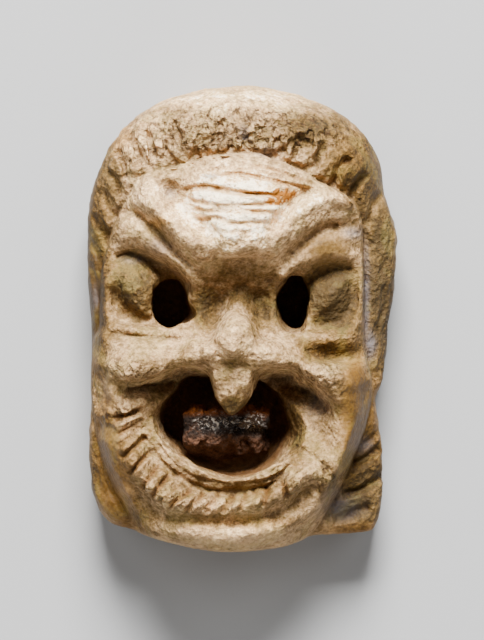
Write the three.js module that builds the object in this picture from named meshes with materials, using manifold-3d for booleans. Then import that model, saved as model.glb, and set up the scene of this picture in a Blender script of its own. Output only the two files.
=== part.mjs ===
// A miniature carved stone theatre mask with the stub of an iron bar held in its open mouth.
// It lies on its flat back: +Y runs to the crown, +X to the viewer's right, +Z out of the face.
// Millimetres. The origin is on the back plane, under the middle of the mask.
import * as THREE from "three";
import { mergeVertices } from "three/addons/utils/BufferGeometryUtils.js";
import Module from "manifold-3d";

const wasm = await Module();
wasm.setup();

// Driving dimensions
const WIDTH = 31.2;
const LENGTH = 46.9;
const RIM_HEIGHT = 6;
const SHOULDER = 7;
const BACK_DRAW_IN = 0.035;
const SIDE_HAIR_HEIGHT = 9.8;
const CROWN_HEIGHT = 14;
const BASE_HEIGHT = 9;
const DEEPENING = 1.25;
const MOUTH_FLOOR = 5;
const MOUTH_DRAW_IN = 0.12;
const COLUMN_UNDERSIDE = 13.4;
const EYE_HOLE_FLOOR = 3;
const LIP_GROOVES = 13;
const IRON_HALF_WIDTH = 4.6;
const IRON_HALF_LENGTH = 3;
const IRON_FRONT = 12.1;
const GAP = 0.3;

// The grid that the carving is worked out on: one node at every half cell
const CELL = 0.62;
const STEP = CELL / 2;
const COLUMNS = Math.ceil(WIDTH / CELL) + 2;
const ROWS = Math.ceil(LENGTH / CELL) + 2;
const ACROSS = 2 * COLUMNS + 1;
const ALONG = 2 * ROWS + 1;
const SWEEPS = 300;
const OVER_RELAXATION = 1.85;
const FULLNESS = 0.22;
const FIRST_GUESS = 12;
const ABOVE_ALL = 30;
const BELOW_BACK = -1;

// Small functions on numbers
const clamp = (t, low = 0, high = 1) => Math.min(high, Math.max(low, t));
const mix = (a, b, t) => a + (b - a) * t;

function ease(t) {
  const s = clamp(t);
  return s * s * (3 - 2 * s);
}

// A quarter round rises from 0 to 1 as t does, upright at first and level at the end.
function quarterRound(t) {
  return Math.sqrt(1 - (1 - clamp(t)) ** 2);
}

// A smooth curve through points of any number of values
function smoothLine(points, closed = false, steps = 16) {
  const count = points.length;
  const at = (i) => (closed ? points[(i + count) % count] : points[clamp(i, 0, count - 1)]);
  const spans = closed ? count : count - 1;
  const line = [];
  for (let i = 0; i < spans; i++) {
    const [a, b, c, d] = [at(i - 1), at(i), at(i + 1), at(i + 2)];
    for (let k = 0; k < steps; k++) {
      const t = k / steps;
      line.push(
        b.map((value, n) => {
          const turn = 2 * a[n] - 5 * value + 4 * c[n] - d[n];
          const twist = 3 * value - a[n] - 3 * c[n] + d[n];
          return 0.5 * (2 * value + (c[n] - a[n]) * t + turn * t * t + twist * t ** 3);
        }),
      );
    }
  }
  line.push(closed ? line[0] : points[count - 1]);
  return line;
}

// How far a place is from a line, and the share of the way along to the point of the line nearest to it
function nearest(line, x, y) {
  let best = { distance: Infinity, along: 0 };
  for (let i = 0; i < line.length - 1; i++) {
    const [a, b] = [line[i], line[i + 1]];
    const [dx, dy] = [b[0] - a[0], b[1] - a[1]];
    const t = clamp(((x - a[0]) * dx + (y - a[1]) * dy) / (dx * dx + dy * dy + 1e-12));
    const distance = Math.hypot(x - a[0] - t * dx, y - a[1] - t * dy);
    if (distance < best.distance) best = { distance, along: (i + t) / (line.length - 1) };
  }
  return best;
}

// The distance to a closed line, above 0 inside it
function depthInside(line, x, y) {
  let inside = false;
  for (let i = 0; i < line.length - 1; i++) {
    const [[ax, ay], [bx, by]] = [line[i], line[i + 1]];
    if (ay > y !== by > y && x < ((bx - ax) * (y - ay)) / (by - ay) + ax) inside = !inside;
  }
  const { distance } = nearest(line, x, y);
  return inside ? distance : -distance;
}

// Outlines, seen from the front
const outline = smoothLine(
  [
    [0.2, 23.4], [6.6, 22.3], [11.6, 19.4], [13.8, 16.0], [14.4, 12.6], [15.3, 9.8], [15.6, 5.0],
    [14.9, -1.5], [14.4, -6.0], [13.55, -8.2], [14.1, -12.5], [14.3, -17.0], [13.6, -20.6],
    [11.6, -21.6], [7.2, -21.9], [3.6, -23.0], [-2.0, -23.4], [-7.0, -22.6], [-10.6, -21.4],
    [-13.6, -20.2], [-15.2, -17.0], [-15.5, -12.0], [-15.2, -3.0], [-15.58, 4.0], [-15.5, 10.0],
    [-14.5, 15.0], [-12.0, 19.2], [-7.4, 22.2],
  ],
  true,
  4,
);
const mouthEdge = smoothLine(
  [
    [-8.5, -10.7], [-7.5, -12.6], [-5.4, -14.5], [-2.6, -15.9], [0.6, -15.9], [3.7, -14.8],
    [5.7, -13.0], [6.3, -10.6], [5.6, -8.2], [4.6, -6.5], [3.0, -5.7], [-3.2, -5.2], [-5.2, -5.2],
    [-6.5, -5.9], [-7.4, -7.3], [-8.5, -9.1],
  ],
  true,
  3,
);
const MOUTH_CENTRE = [-1.2, -10.6];
const columnEdge = smoothLine(
  [[-3.9, -4.6], [2.4, -4.6], [1.7, -5.8], [0.35, -8.2], [-1.0, -9.5], [-2.3, -8.2], [-3.3, -5.8]],
  true,
  3,
);

// The edge of the face, and the crests and hollows inside it, as points of x, y and height. The heights
// are as in shallow relief; everything over BASE_HEIGHT is cut deeper by DEEPENING.
const faceEdge = smoothLine(
  [
    [-10.9, 12.6, 12.8], [-10.3, 13.9, 13.4], [-6.0, 15.2, 14.2], [-3.4, 16.1, 14.4], [0.6, 16.4, 14.5],
    [3.0, 15.9, 14.4], [7.6, 13.6, 14.0], [11.1, 11.6, 12.8], [11.9, 9.4, 12.0], [12.2, 2.0, 11.3],
    [12.1, -1.5, 11.2], [12.9, -6.0, 11.2], [12.1, -11.4, 10.8], [9.6, -17.2, 9.8], [7.8, -20.3, 9.4],
    [4.4, -23.6, 11.0], [-0.6, -24.4, 11.5], [-5.4, -24.0, 11.5], [-8.8, -23.2, 10.5],
    [-10.4, -21.4, 9.4], [-12.8, -17.0, 9.4], [-14.6, -11.0, 10.2], [-15.1, -4.5, 10.2],
    [-14.2, -0.8, 10.6], [-13.9, 5.0, 10.6], [-12.6, 9.6, 11.4],
  ],
  true,
);
const forehead = [
  [[-9.6, 13.7, 14.3], [-5.6, 14.6, 14.8], [0.6, 15.6, 15.2], [6.0, 13.9, 14.8], [8.4, 12.9, 14.3]],
  [[-4.6, 13.0, 15.8], [0.0, 13.0, 16.5], [4.2, 12.3, 15.9]],
  [[-3.8, 10.7, 16.6], [0.0, 10.4, 17.4], [3.3, 10.7, 16.6]],
  [[-2.4, 8.7, 17.2], [0.0, 8.3, 17.8], [1.9, 8.6, 17.3]],
  [[-2.6, 7.3, 16.9], [0.2, 7.0, 17.2], [2.3, 7.3, 16.8]],
  [[-2.8, 6.0, 15.0], [0.2, 5.8, 14.8], [2.6, 6.0, 15.0]],
  [[-2.4, 4.9, 14.0], [0.0, 4.5, 13.7], [2.0, 4.9, 14.0]],
  [[-7.4, 13.4, 13.6], [-5.2, 10.3, 14.7], [-3.4, 8.4, 15.9]],
  [[7.2, 12.9, 13.8], [4.3, 10.7, 14.9], [2.9, 8.6, 16.0]],
];
const leftBrow = [
  [[-10.3, 12.9, 14.1], [-7.5, 10.2, 16.0], [-5.3, 8.4, 16.7], [-3.1, 7.2, 16.8]],
  [[-10.8, 12.0, 13.6], [-7.9, 9.4, 15.8], [-5.7, 7.4, 16.3], [-3.2, 6.4, 16.3]],
  [[-11.2, 11.3, 12.4], [-9.1, 9.8, 13.7], [-5.8, 6.5, 14.7], [-3.4, 4.7, 14.4]],
  [[-11.9, 10.9, 11.6], [-9.5, 9.5, 12.7], [-6.1, 6.0, 13.7], [-2.9, 2.9, 12.6]],
  [[-12.6, 7.6, 11.6], [-11.3, 9.7, 13.0], [-7.9, 7.3, 14.4], [-5.7, 5.2, 14.5], [-3.7, 3.3, 13.0]],
  [[-12.7, 6.7, 11.4], [-9.9, 6.9, 12.9], [-6.5, 5.0, 13.7], [-4.6, 3.2, 13.2]],
];
const rightBrow = [
  [[11.2, 11.0, 12.9], [9.1, 12.1, 14.7], [6.4, 11.1, 15.8], [3.2, 7.9, 16.7]],
  [[11.2, 10.3, 12.4], [8.9, 10.9, 14.2], [5.3, 8.5, 15.8], [3.0, 6.4, 15.9]],
  [[11.2, 9.6, 12.0], [8.7, 9.8, 13.6], [4.9, 7.0, 14.9], [2.7, 4.9, 14.3]],
  [[11.4, 9.1, 11.6], [8.4, 9.0, 12.4], [4.5, 6.1, 13.5], [2.6, 3.8, 12.6]],
  [[11.5, 6.8, 11.7], [9.9, 8.4, 13.2], [7.0, 7.5, 14.0], [4.4, 5.0, 14.2], [3.5, 4.0, 13.7]],
  [[11.1, 5.6, 11.8], [8.4, 5.8, 13.0], [5.8, 4.6, 13.3], [4.6, 3.8, 13.1]],
];
const leftEye = [
  [[-12.5, 6.0, 10.8], [-10.9, 6.5, 11.2], [-8.7, 5.7, 11.0], [-5.6, 3.6, 10.4]],
  [[-12.0, 4.3, 12.5], [-10.5, 2.6, 13.3], [-10.2, 0.6, 12.3]],
  [[-13.1, 6.2, 11.2], [-13.6, 2.2, 12.3], [-13.6, 0.6, 12.6]],
  [[-13.6, -0.4, 12.7], [-9.6, -1.25, 13.5], [-6.0, -1.4, 13.8], [-3.6, -0.9, 13.2]],
  [[-12.4, 0.0, 11.8], [-8.6, -0.8, 12.0]],
];
const rightEye = [
  [[10.9, 4.9, 11.0], [8.4, 5.1, 11.4], [4.8, 3.3, 10.4]],
  [[10.6, 4.2, 11.8], [8.9, 2.4, 13.0], [7.8, 0.4, 11.8]],
  [[11.2, 3.6, 11.2], [10.3, -0.1, 11.3], [7.4, -0.85, 11.6]],
  [[11.7, 4.6, 11.9], [11.2, -0.8, 12.6], [7.0, -1.8, 13.5], [3.8, -1.6, 13.4]],
  [[11.5, -1.5, 12.5], [8.8, -2.05, 13.2], [5.4, -2.5, 13.8]],
  [[12.0, -3.2, 11.6], [9.2, -3.4, 12.3], [6.4, -3.2, 13.7]],
];
const nose = [
  [[0.0, 3.4, 12.6], [-0.6, 1.2, 13.9], [-0.9, -0.8, 16.9], [-0.8, -2.7, 18.1], [-0.8, -3.5, 17.8]],
  [[-2.1, 2.0, 11.6], [-2.6, -0.4, 12.7], [-3.8, -2.1, 14.7]],
  [[1.7, 2.0, 11.4], [1.9, -0.4, 12.9], [3.2, -2.1, 14.8]],
  [[-6.5, -3.5, 14.8], [-4.3, -2.9, 16.1], [-2.3, -3.1, 16.5]],
  [[0.9, -3.1, 16.7], [3.0, -3.0, 16.2], [5.5, -3.8, 14.9]],
  [[-6.4, -4.3, 14.8], [-2.8, -4.5, 15.8], [-0.8, -4.7, 15.7], [1.2, -4.6, 15.7], [5.5, -4.7, 14.8]],
  [[-0.9, -5.7, 15.5], [-1.0, -8.4, 15.1], [-1.0, -9.2, 14.4]],
];
const leftCheek = [
  [[-14.4, -1.4, 12.9], [-11.4, -2.3, 14.1], [-5.8, -2.7, 14.6]],
  [[-14.4, -4.4, 13.4], [-11.0, -4.4, 15.9], [-6.6, -3.8, 15.1]],
  [[-12.6, -6.0, 14.7], [-8.8, -5.5, 15.3], [-6.7, -4.7, 14.5]],
  [[-11.7, -6.9, 12.9], [-8.0, -6.4, 10.2]],
  [[-13.3, -5.6, 14.6], [-12.9, -8.6, 13.9], [-13.3, -10.0, 13.6]],
  [[-12.3, -8.3, 13.7], [-8.9, -8.6, 12.2]],
  [[-14.0, -11.6, 12.6], [-12.2, -16.6, 12.8], [-9.8, -20.6, 12.0]],
];
const rightCheek = [
  [[12.5, -3.9, 12.0], [10.0, -4.1, 14.2], [5.8, -3.8, 14.8]],
  [[12.5, -6.0, 12.4], [8.8, -5.7, 15.8], [6.5, -4.8, 15.2]],
  [[10.4, -8.6, 14.5], [8.5, -7.3, 15.0], [6.0, -5.3, 14.4]],
  [[9.4, -10.0, 13.9], [7.6, -8.2, 11.0], [6.6, -7.2, 9.8]],
  [[7.0, -10.8, 12.2], [9.3, -12.6, 13.9]],
  [[11.7, -7.8, 13.4], [10.6, -12.0, 14.1], [9.0, -16.0, 14.0], [7.1, -19.4, 12.4]],
];
const lips = [
  [
    [-9.0, -9.6, 12.4], [-8.2, -12.9, 13.4], [-5.0, -15.6, 13.9], [-0.6, -16.6, 14.0], [3.8, -15.4, 13.8],
    [6.8, -11.2, 12.8],
  ],
  [
    [-12.6, -9.9, 13.9], [-11.4, -13.0, 15.0], [-8.1, -17.3, 15.5], [-3.2, -18.6, 15.8], [2.2, -17.9, 15.7],
    [6.8, -14.8, 14.8],
  ],
  [
    [-12.9, -13.6, 13.6], [-10.2, -18.0, 13.4], [-6.4, -19.9, 14.2], [0.2, -20.2, 14.2], [4.0, -18.9, 13.6],
    [7.2, -16.6, 13.2],
  ],
  [[-9.2, -20.8, 12.9], [-4.6, -21.5, 14.6], [1.6, -21.3, 14.6], [6.6, -19.0, 13.0]],
];

// The grid's nodes, counted along Y first
const nodeX = (i) => (i - COLUMNS) * STEP;
const nodeY = (j) => (j - ROWS) * STEP;
const node = (i, j) => i * ALONG + j;

function overNodes(change) {
  for (let i = 0; i < ACROSS; i++) {
    for (let j = 0; j < ALONG; j++) change(node(i, j), nodeX(i), nodeY(j));
  }
}

// A skin held at lines and stretched between them, a little full
function skin(lines) {
  const total = new Float64Array(ACROSS * ALONG);
  const hits = new Float64Array(ACROSS * ALONG);
  for (const [x, y, z] of lines.flat()) {
    const here = node(Math.round(x / STEP) + COLUMNS, Math.round(y / STEP) + ROWS);
    total[here] += z;
    hits[here] += 1;
  }
  const height = total.map((sum, here) => (hits[here] ? sum / hits[here] : FIRST_GUESS));
  const swell = (FULLNESS * STEP ** 2) / 4;
  for (let sweep = 0; sweep < SWEEPS; sweep++) {
    for (let i = 1; i < ACROSS - 1; i++) {
      for (let j = 1; j < ALONG - 1; j++) {
        const here = node(i, j);
        if (hits[here]) continue;
        const around = height[here - 1] + height[here + 1] + height[here - ALONG] + height[here + ALONG];
        height[here] += OVER_RELAXATION * (around / 4 + swell - height[here]);
      }
    }
  }
  return height;
}

const features = [forehead, leftBrow, rightBrow, leftEye, rightEye, nose, leftCheek, rightCheek, lips];
const face = skin([faceEdge, ...features.flat().map((line) => smoothLine(line))]);
const relief = new Float64Array(ACROSS * ALONG);

// The face stands out of a cap of hair: a thick roll over the crown that thins down both sides.
overNodes((here, x, y) => {
  const right = ease((x - 4) / 8);
  const crown = ease((y - 7) / 9);
  const foot = ease((-8 - y) / 8);
  const fromEdge = depthInside(outline, x, y);
  const inFace = depthInside(faceEdge, x, y);
  const hairRadius = 2.2 + 3.6 * crown + right * (1 - crown);
  const hairTop = mix(SIDE_HAIR_HEIGHT - 0.5 * right, CROWN_HEIGHT, crown) - foot * right;
  const valley = 0.5 * crown * Math.exp(-((inFace / 1.8) ** 2));
  const hair = mix(RIM_HEIGHT, hairTop, quarterRound(fromEdge / hairRadius)) - valley;
  const edgeRadius = 2 - ease((-19 - y) / 3);
  const side = RIM_HEIGHT + 9 * quarterRound(fromEdge / edgeRadius) + 2 * Math.max(0, fromEdge - 0.5);
  const drawn = Math.min(side, mix(hair, face[here], ease(inFace / 0.3 + 0.5)));
  relief[here] = drawn > BASE_HEIGHT ? mix(BASE_HEIGHT, drawn, DEEPENING) : drawn;
});

// A groove cut along a line with a round-nosed tool, fading out at its ends
function groove(points, halfWidth, depth, fade = 0.25) {
  const line = smoothLine(points, false, 6);
  overNodes((here, x, y) => {
    const { distance, along } = nearest(line, x, y);
    const profile = clamp(1 - (distance / halfWidth) ** 2) ** 1.3;
    relief[here] -= depth * profile * ease(along / fade) * ease((1 - along) / fade);
  });
}

// A groove bent sideways at its middle, beside one lock of hair
function lock(x0, y0, x1, y1, bend, halfWidth, depth) {
  const length = Math.hypot(x1 - x0, y1 - y0);
  const middle = [(x0 + x1) / 2 - ((y1 - y0) / length) * bend, (y0 + y1) / 2 + ((x1 - x0) / length) * bend];
  groove([[x0, y0], middle, [x1, y1]], halfWidth, depth);
}

// The crease between the upper and lower left lid, and the groove outside the inner lip
groove([[-13.4, -1.55], [-9.4, -1.8], [-5.8, -2.05]], 0.5, 0.5, 0.1);
groove([[-10.0, -11.2], [-6.9, -15.25], [-1.0, -17.3], [5.0, -15.3]], 0.6, 0.5, 0.1);

// The deepest wrinkles across the forehead
groove([[-6.2, 12.5], [-3.6, 13.05], [4.0, 12.15]], 0.5, 0.5, 0.12);
groove([[-5.8, 10.9], [-2.0, 10.9], [4.2, 10.6]], 0.5, 0.4, 0.12);

// Short tool grooves that radiate across the lower lip
const lipInner = smoothLine([[-9.8, -9.0], [-7.9, -14.6], [-2.7, -17.3], [4.0, -16.0]]);
const lipOuter = smoothLine([[-13.0, -9.8], [-10.4, -16.8], [-3.6, -19.3], [5.2, -17.6]]);
for (let i = 0; i < LIP_GROOVES; i++) {
  const place = Math.round((i / (LIP_GROOVES - 1)) * (lipInner.length - 1));
  groove([lipInner[place], lipOuter[place]], 0.55, 0.7, 0.3);
}

// Locks of hair: fanned out over the crown, long down the sides, slanted at the foot
for (const [x0, y0, x1, y1, bend, halfWidth, depth] of [
  [-8.6, 20.0, -7.4, 16.2, 0.3, 0.7, 0.9], [-10.0, 19.4, -8.7, 15.6, 0.3, 0.7, 1.0],
  [-11.6, 18.6, -10.0, 15.0, 0.4, 0.7, 1.2], [-12.8, 17.2, -11.4, 13.4, 0.4, 0.7, 1.0],
  [-13.9, 15.2, -12.0, 11.8, 0.4, 0.7, 1.1], [-14.7, 13.2, -12.8, 9.8, 0.4, 0.7, 1.0],
  [-15.2, 10.8, -13.5, 7.2, 0.3, 0.7, 0.9], [-15.4, 8.2, -14.0, 4.6, 0.3, 0.7, 0.7],
  [8.6, 17.6, 7.2, 14.4, -0.3, 0.7, 1.0], [10.8, 16.4, 8.9, 12.8, -0.3, 0.8, 1.3],
  [12.4, 14.8, 10.8, 11.6, -0.3, 0.7, 1.0], [14.0, 13.0, 12.6, 9.0, -0.3, 0.7, 0.9],
  [14.0, -10.2, 11.9, -12.4, 0.2, 0.9, 1.1], [13.9, -12.4, 10.9, -14.2, 0.2, 0.9, 1.3],
  [14.3, -15.0, 9.9, -17.2, 0.4, 1.1, 1.5], [12.9, -18.2, 9.0, -19.6, 0.3, 1.2, 0.7],
]) {
  lock(x0, y0, x1, y1, bend, halfWidth, depth);
}

// The height at a node of the block: the mean over one cell, so that a steep step doesn't turn into teeth
function carved(x, y) {
  const [i, j] = [Math.round(x / STEP) + COLUMNS, Math.round(y / STEP) + ROWS];
  let sum = 0;
  let count = 0;
  for (let u = Math.max(i - 1, 0); u <= Math.min(i + 1, ACROSS - 1); u++) {
    for (let v = Math.max(j - 1, 0); v <= Math.min(j + 1, ALONG - 1); v++) {
      sum += relief[node(u, v)];
      count += 1;
    }
  }
  return sum / count;
}

// Solids to join and cut
function solid(geometry) {
  geometry.deleteAttribute("normal");
  geometry.deleteAttribute("uv");
  const merged = mergeVertices(geometry, 1e-4);
  const vertProperties = new Float32Array(merged.attributes.position.array);
  const triVerts = new Uint32Array(merged.index.array);
  return new wasm.Manifold(new wasm.Mesh({ numProp: 3, vertProperties, triVerts }));
}

function geometryOf(shape) {
  const mesh = shape.getMesh();
  const geometry = new THREE.BufferGeometry();
  geometry.setAttribute("position", new THREE.BufferAttribute(new Float32Array(mesh.vertProperties), 3));
  geometry.setIndex(new THREE.BufferAttribute(new Uint32Array(mesh.triVerts), 1));
  geometry.computeVertexNormals();
  return geometry;
}

// An outline pushed from one height to another, drawn in towards a centre at its lower end
function prism(line, low, high, drawIn = 0, centre = [0, 0]) {
  const shape = new THREE.Shape(line.slice(0, -1).map(([x, y]) => new THREE.Vector2(x, y)));
  const geometry = new THREE.ExtrudeGeometry(shape, { depth: high - low, bevelEnabled: false });
  geometry.translate(0, 0, low);
  const position = geometry.getAttribute("position");
  for (let i = 0; i < position.count; i++) {
    if (position.getZ(i) > (low + high) / 2) continue;
    position.setX(i, mix(position.getX(i), centre[0], drawIn));
    position.setY(i, mix(position.getY(i), centre[1], drawIn));
  }
  return solid(geometry);
}

// A drilled eye hole, oval and a little narrower at its floor
function eyeHole(x, y, halfX, halfY) {
  const geometry = new THREE.CylinderGeometry(1, 0.82, ABOVE_ALL - EYE_HOLE_FLOOR, 20);
  geometry.rotateX(Math.PI / 2);
  geometry.scale(halfX, halfY, 1);
  geometry.translate(x, y, (ABOVE_ALL + EYE_HOLE_FLOOR) / 2);
  return solid(geometry);
}

// Splits each square of a block's faces along its flatter diagonal, so that slanted ridges stay straight.
function splitAlongRidges(block) {
  const position = block.getAttribute("position");
  const corners = block.index.array;
  const step = (m, n) => Math.abs(position.getZ(m) - position.getZ(n));
  for (let k = 0; k < corners.length; k += 6) {
    const [a, b, d] = [corners[k], corners[k + 1], corners[k + 2]];
    const c = corners[k + 4];
    if (step(a, c) < step(b, d)) corners.set([a, b, c, a, c, d], k);
  }
}

// The mask: a block whose top is lowered to the carving, trimmed to the outline, its mouth and eyes cut out
function maskGeometry() {
  const block = new THREE.BoxGeometry(COLUMNS * CELL, ROWS * CELL, 1, COLUMNS, ROWS, 1);
  const position = block.getAttribute("position");
  for (let i = 0; i < position.count; i++) {
    const top = position.getZ(i) > 0;
    position.setZ(i, top ? carved(position.getX(i), position.getY(i)) : BELOW_BACK);
  }
  splitAlongRidges(block);
  const column = prism(columnEdge, COLUMN_UNDERSIDE, ABOVE_ALL + 1);
  const mouth = prism(mouthEdge, MOUTH_FLOOR, ABOVE_ALL, MOUTH_DRAW_IN, MOUTH_CENTRE).subtract(column);
  const foot = prism(outline, 0, SHOULDER, BACK_DRAW_IN);
  const mask = solid(block)
    .intersect(foot.add(prism(outline, SHOULDER, ABOVE_ALL)))
    .subtract(mouth)
    .subtract(eyeHole(-7.1, 1.5, 2.15, 2.5))
    .subtract(eyeHole(5.1, 1.4, 1.9, 2.6));
  return geometryOf(mask);
}

// The iron: a squared bar end with swollen, corroded faces, seated on the floor of the mouth
function ironGeometry() {
  const [middleX, middleY] = [-1.6, -11.3];
  const [low, high] = [MOUTH_FLOOR + GAP, IRON_FRONT];
  const squareness = 3.5;
  const geometry = new THREE.BoxGeometry(2, 2, 2, 12, 8, 6);
  const position = geometry.getAttribute("position");
  for (let i = 0; i < position.count; i++) {
    const [u, v, w] = [position.getX(i), position.getY(i), position.getZ(i)];
    const most = Math.max(Math.abs(u), Math.abs(v));
    const norm = (Math.abs(u) ** squareness + Math.abs(v) ** squareness) ** (1 / squareness);
    const square = norm > 0 ? most / norm : 1;
    const shoulder = 1 - 0.12 * ease((w - 0.3) / 0.7);
    const rough = 0.12 * Math.sin(5.1 * u + 2.3 * w) + 0.1 * Math.cos(6.7 * v - 3.1 * u);
    const inward = 1 - 0.03 * (1 + Math.sin(4.3 * w + 5.9 * u * v));
    const spread = square * shoulder * inward;
    const bulge = 0.7 * (1 - 0.35 * most ** 2) * ease((w + 1) / 2);
    const z = mix(low, high - 0.9, (w + 1) / 2) + bulge + rough * ease(w);
    position.setXYZ(i, middleX + IRON_HALF_WIDTH * u * spread, middleY + IRON_HALF_LENGTH * v * spread, z);
  }
  return geometryOf(solid(geometry));
}

const stone = new THREE.MeshStandardMaterial({ color: 0xd0c0a0, roughness: 0.72, metalness: 0.0 });
const iron = new THREE.MeshStandardMaterial({ color: 0x2c211b, roughness: 0.55, metalness: 0.3 });

const theatreMask = new THREE.Group();
theatreMask.name = "theatre_mask";

const mask = new THREE.Mesh(maskGeometry(), stone);
mask.name = "mask";
theatreMask.add(mask);

const ironStub = new THREE.Mesh(ironGeometry(), iron);
ironStub.name = "iron_stub";
theatreMask.add(ironStub);

export default theatreMask;
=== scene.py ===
"""A miniature carved stone theatre mask, lying on its back, with an iron stub in its open mouth."""

import math

import bpy
import numpy as np
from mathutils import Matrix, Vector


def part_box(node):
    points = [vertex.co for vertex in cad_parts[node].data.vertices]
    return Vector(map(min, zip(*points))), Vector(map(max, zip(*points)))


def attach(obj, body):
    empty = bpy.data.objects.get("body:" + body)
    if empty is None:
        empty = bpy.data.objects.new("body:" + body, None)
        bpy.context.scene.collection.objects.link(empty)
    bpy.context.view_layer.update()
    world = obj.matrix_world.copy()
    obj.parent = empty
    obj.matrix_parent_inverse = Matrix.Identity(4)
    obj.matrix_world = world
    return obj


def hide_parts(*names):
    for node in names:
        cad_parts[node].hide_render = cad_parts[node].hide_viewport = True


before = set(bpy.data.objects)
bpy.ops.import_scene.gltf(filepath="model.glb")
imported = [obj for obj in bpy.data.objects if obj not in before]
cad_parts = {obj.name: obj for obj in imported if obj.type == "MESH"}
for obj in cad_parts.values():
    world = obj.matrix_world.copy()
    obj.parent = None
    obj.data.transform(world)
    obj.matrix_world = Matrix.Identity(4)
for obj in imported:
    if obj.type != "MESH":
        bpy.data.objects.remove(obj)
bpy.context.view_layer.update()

# The mask.
# One piece of cream stone, cut with gravers, rasps and drills from a small slab and left flat behind.
# All its carving is one height over the back, laid down cut by cut below, in millimetres.
mask_low, mask_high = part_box("mask")
CARVED_LENGTH = 46.8
MM = (mask_high.y - mask_low.y) / CARVED_LENGTH
PITCH = 0.14
MOST_TRIANGLES = 190000
GRID_HALF_WIDTH = 16.4
GRID_HALF_LENGTH = 24.4
x_line = np.arange(-GRID_HALF_WIDTH, GRID_HALF_WIDTH, PITCH)
y_line = np.arange(-GRID_HALF_LENGTH, GRID_HALF_LENGTH, PITCH)
X, Y = np.meshgrid(x_line, y_line, indexing="ij")
relief = np.zeros(X.shape)


def ease(t):
    """0 to 1 as t goes from 0 to 1, slow at both ends."""
    t = np.clip(t, 0, 1)
    return t * t * (3 - 2 * t)


def mix(a, b, share):
    """From a, at a share of 0, to b, at a share of 1."""
    return a + (b - a) * share


def quarter_round(t):
    """0 to 1 as t goes from 0 to 1, along a quarter of a circle."""
    return np.sqrt(1 - (1 - np.clip(t, 0, 1)) ** 2)


def joined(a, b, blend):
    """The higher of two heights, with the corner between them filled."""
    share = np.clip(0.5 + 0.5 * (a - b) / blend, 0, 1)
    return mix(b, a, share) + blend * share * (1 - share)


def smooth_line(points, closed=False, steps=8):
    """A smooth curve through points of any number of values."""
    given = np.array(points, float)
    count = len(given)
    spans = count if closed else count - 1
    turns = np.arange(steps) / steps
    line = []
    for i in range(spans):
        if closed:
            a, b, c, d = (given[(i + k) % count] for k in (-1, 0, 1, 2))
        else:
            a, b, c, d = (given[min(max(i + k, 0), count - 1)] for k in (-1, 0, 1, 2))
        for t in turns:
            curve = 2 * b + (c - a) * t + (2 * a - 5 * b + 4 * c - d) * t * t
            line.append(0.5 * (curve + (3 * b - a - 3 * c + d) * t ** 3))
    line.append(line[0] if closed else given[-1])
    return np.array(line)


def window(low, high):
    """The part of the grid between two corners."""
    i0, i1 = np.searchsorted(x_line, [low[0], high[0]])
    j0, j1 = np.searchsorted(y_line, [low[1], high[1]])
    return slice(max(i0 - 1, 0), i1 + 1), slice(max(j0 - 1, 0), j1 + 1)


def nearest(line, reach=None):
    """Where a line is close: the grid's window there, its distance and the share of the way along it."""
    if reach is None:
        part = (slice(None), slice(None))
    else:
        part = window(line[:, :2].min(0) - reach, line[:, :2].max(0) + reach)
    x, y = X[part], Y[part]
    best = np.full(x.shape, np.inf)
    along = np.zeros(x.shape)
    for i in range(len(line) - 1):
        (ax, ay), (bx, by) = line[i, :2], line[i + 1, :2]
        dx, dy = bx - ax, by - ay
        t = np.clip(((x - ax) * dx + (y - ay) * dy) / (dx * dx + dy * dy + 1e-12), 0, 1)
        gap = (x - ax - t * dx) ** 2 + (y - ay - t * dy) ** 2
        closer = gap < best
        best[closer] = gap[closer]
        along[closer] = (i + t)[closer]
    return part, np.sqrt(best), along / (len(line) - 1)


def depth_inside(points):
    """The distance to a closed outline, above 0 inside it."""
    line = smooth_line(points, closed=True)
    distance = nearest(line)[1]
    inside = np.zeros(X.shape, bool)
    for (ax, ay), (bx, by) in zip(line[:-1], line[1:]):
        if ay != by:
            inside ^= ((ay > Y) != (by > Y)) & (X < (bx - ax) * (Y - ay) / (by - ay) + ax)
    return np.where(inside, distance, -distance)


def groove(points, half_width, depth, fade=(0.2, 0.2), sharpness=1.5):
    """A groove cut with a round-nosed tool, fading out at its ends."""
    part, distance, along = nearest(smooth_line(points), half_width)
    profile = np.clip(1 - (distance / half_width) ** 2, 0, 1) ** sharpness
    ends = ease(along / fade[0]) * ease((1 - along) / fade[1])
    relief[part] -= depth * profile * ends


def lock(x0, y0, x1, y1, bend, half_width, depth, fade):
    """A groove bent sideways at its middle, beside one lock of hair."""
    length = math.hypot(x1 - x0, y1 - y0)
    middle = ((x0 + x1) / 2 - (y1 - y0) / length * bend, (y0 + y1) / 2 + (x1 - x0) / length * bend)
    groove([(x0, y0), middle, (x1, y1)], half_width, depth, fade, sharpness=1.3)


def spline_weights(line, scale):
    """How much each point of a coarse lattice weighs at each place of a finer line."""
    spots = (line - line[0]) / scale
    cell = spots.astype(int)
    t = spots - cell
    weights = np.zeros((len(line), cell[-1] + 4), np.float32)
    rows = np.arange(len(line))
    shares = (
        (1 - t) ** 3 / 6,
        (3 * t ** 3 - 6 * t ** 2 + 4) / 6,
        (-3 * t ** 3 + 3 * t ** 2 + 3 * t + 1) / 6,
        t ** 3 / 6,
    )
    for k, share in enumerate(shares):
        weights[rows, cell + k] = share
    return weights


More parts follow.
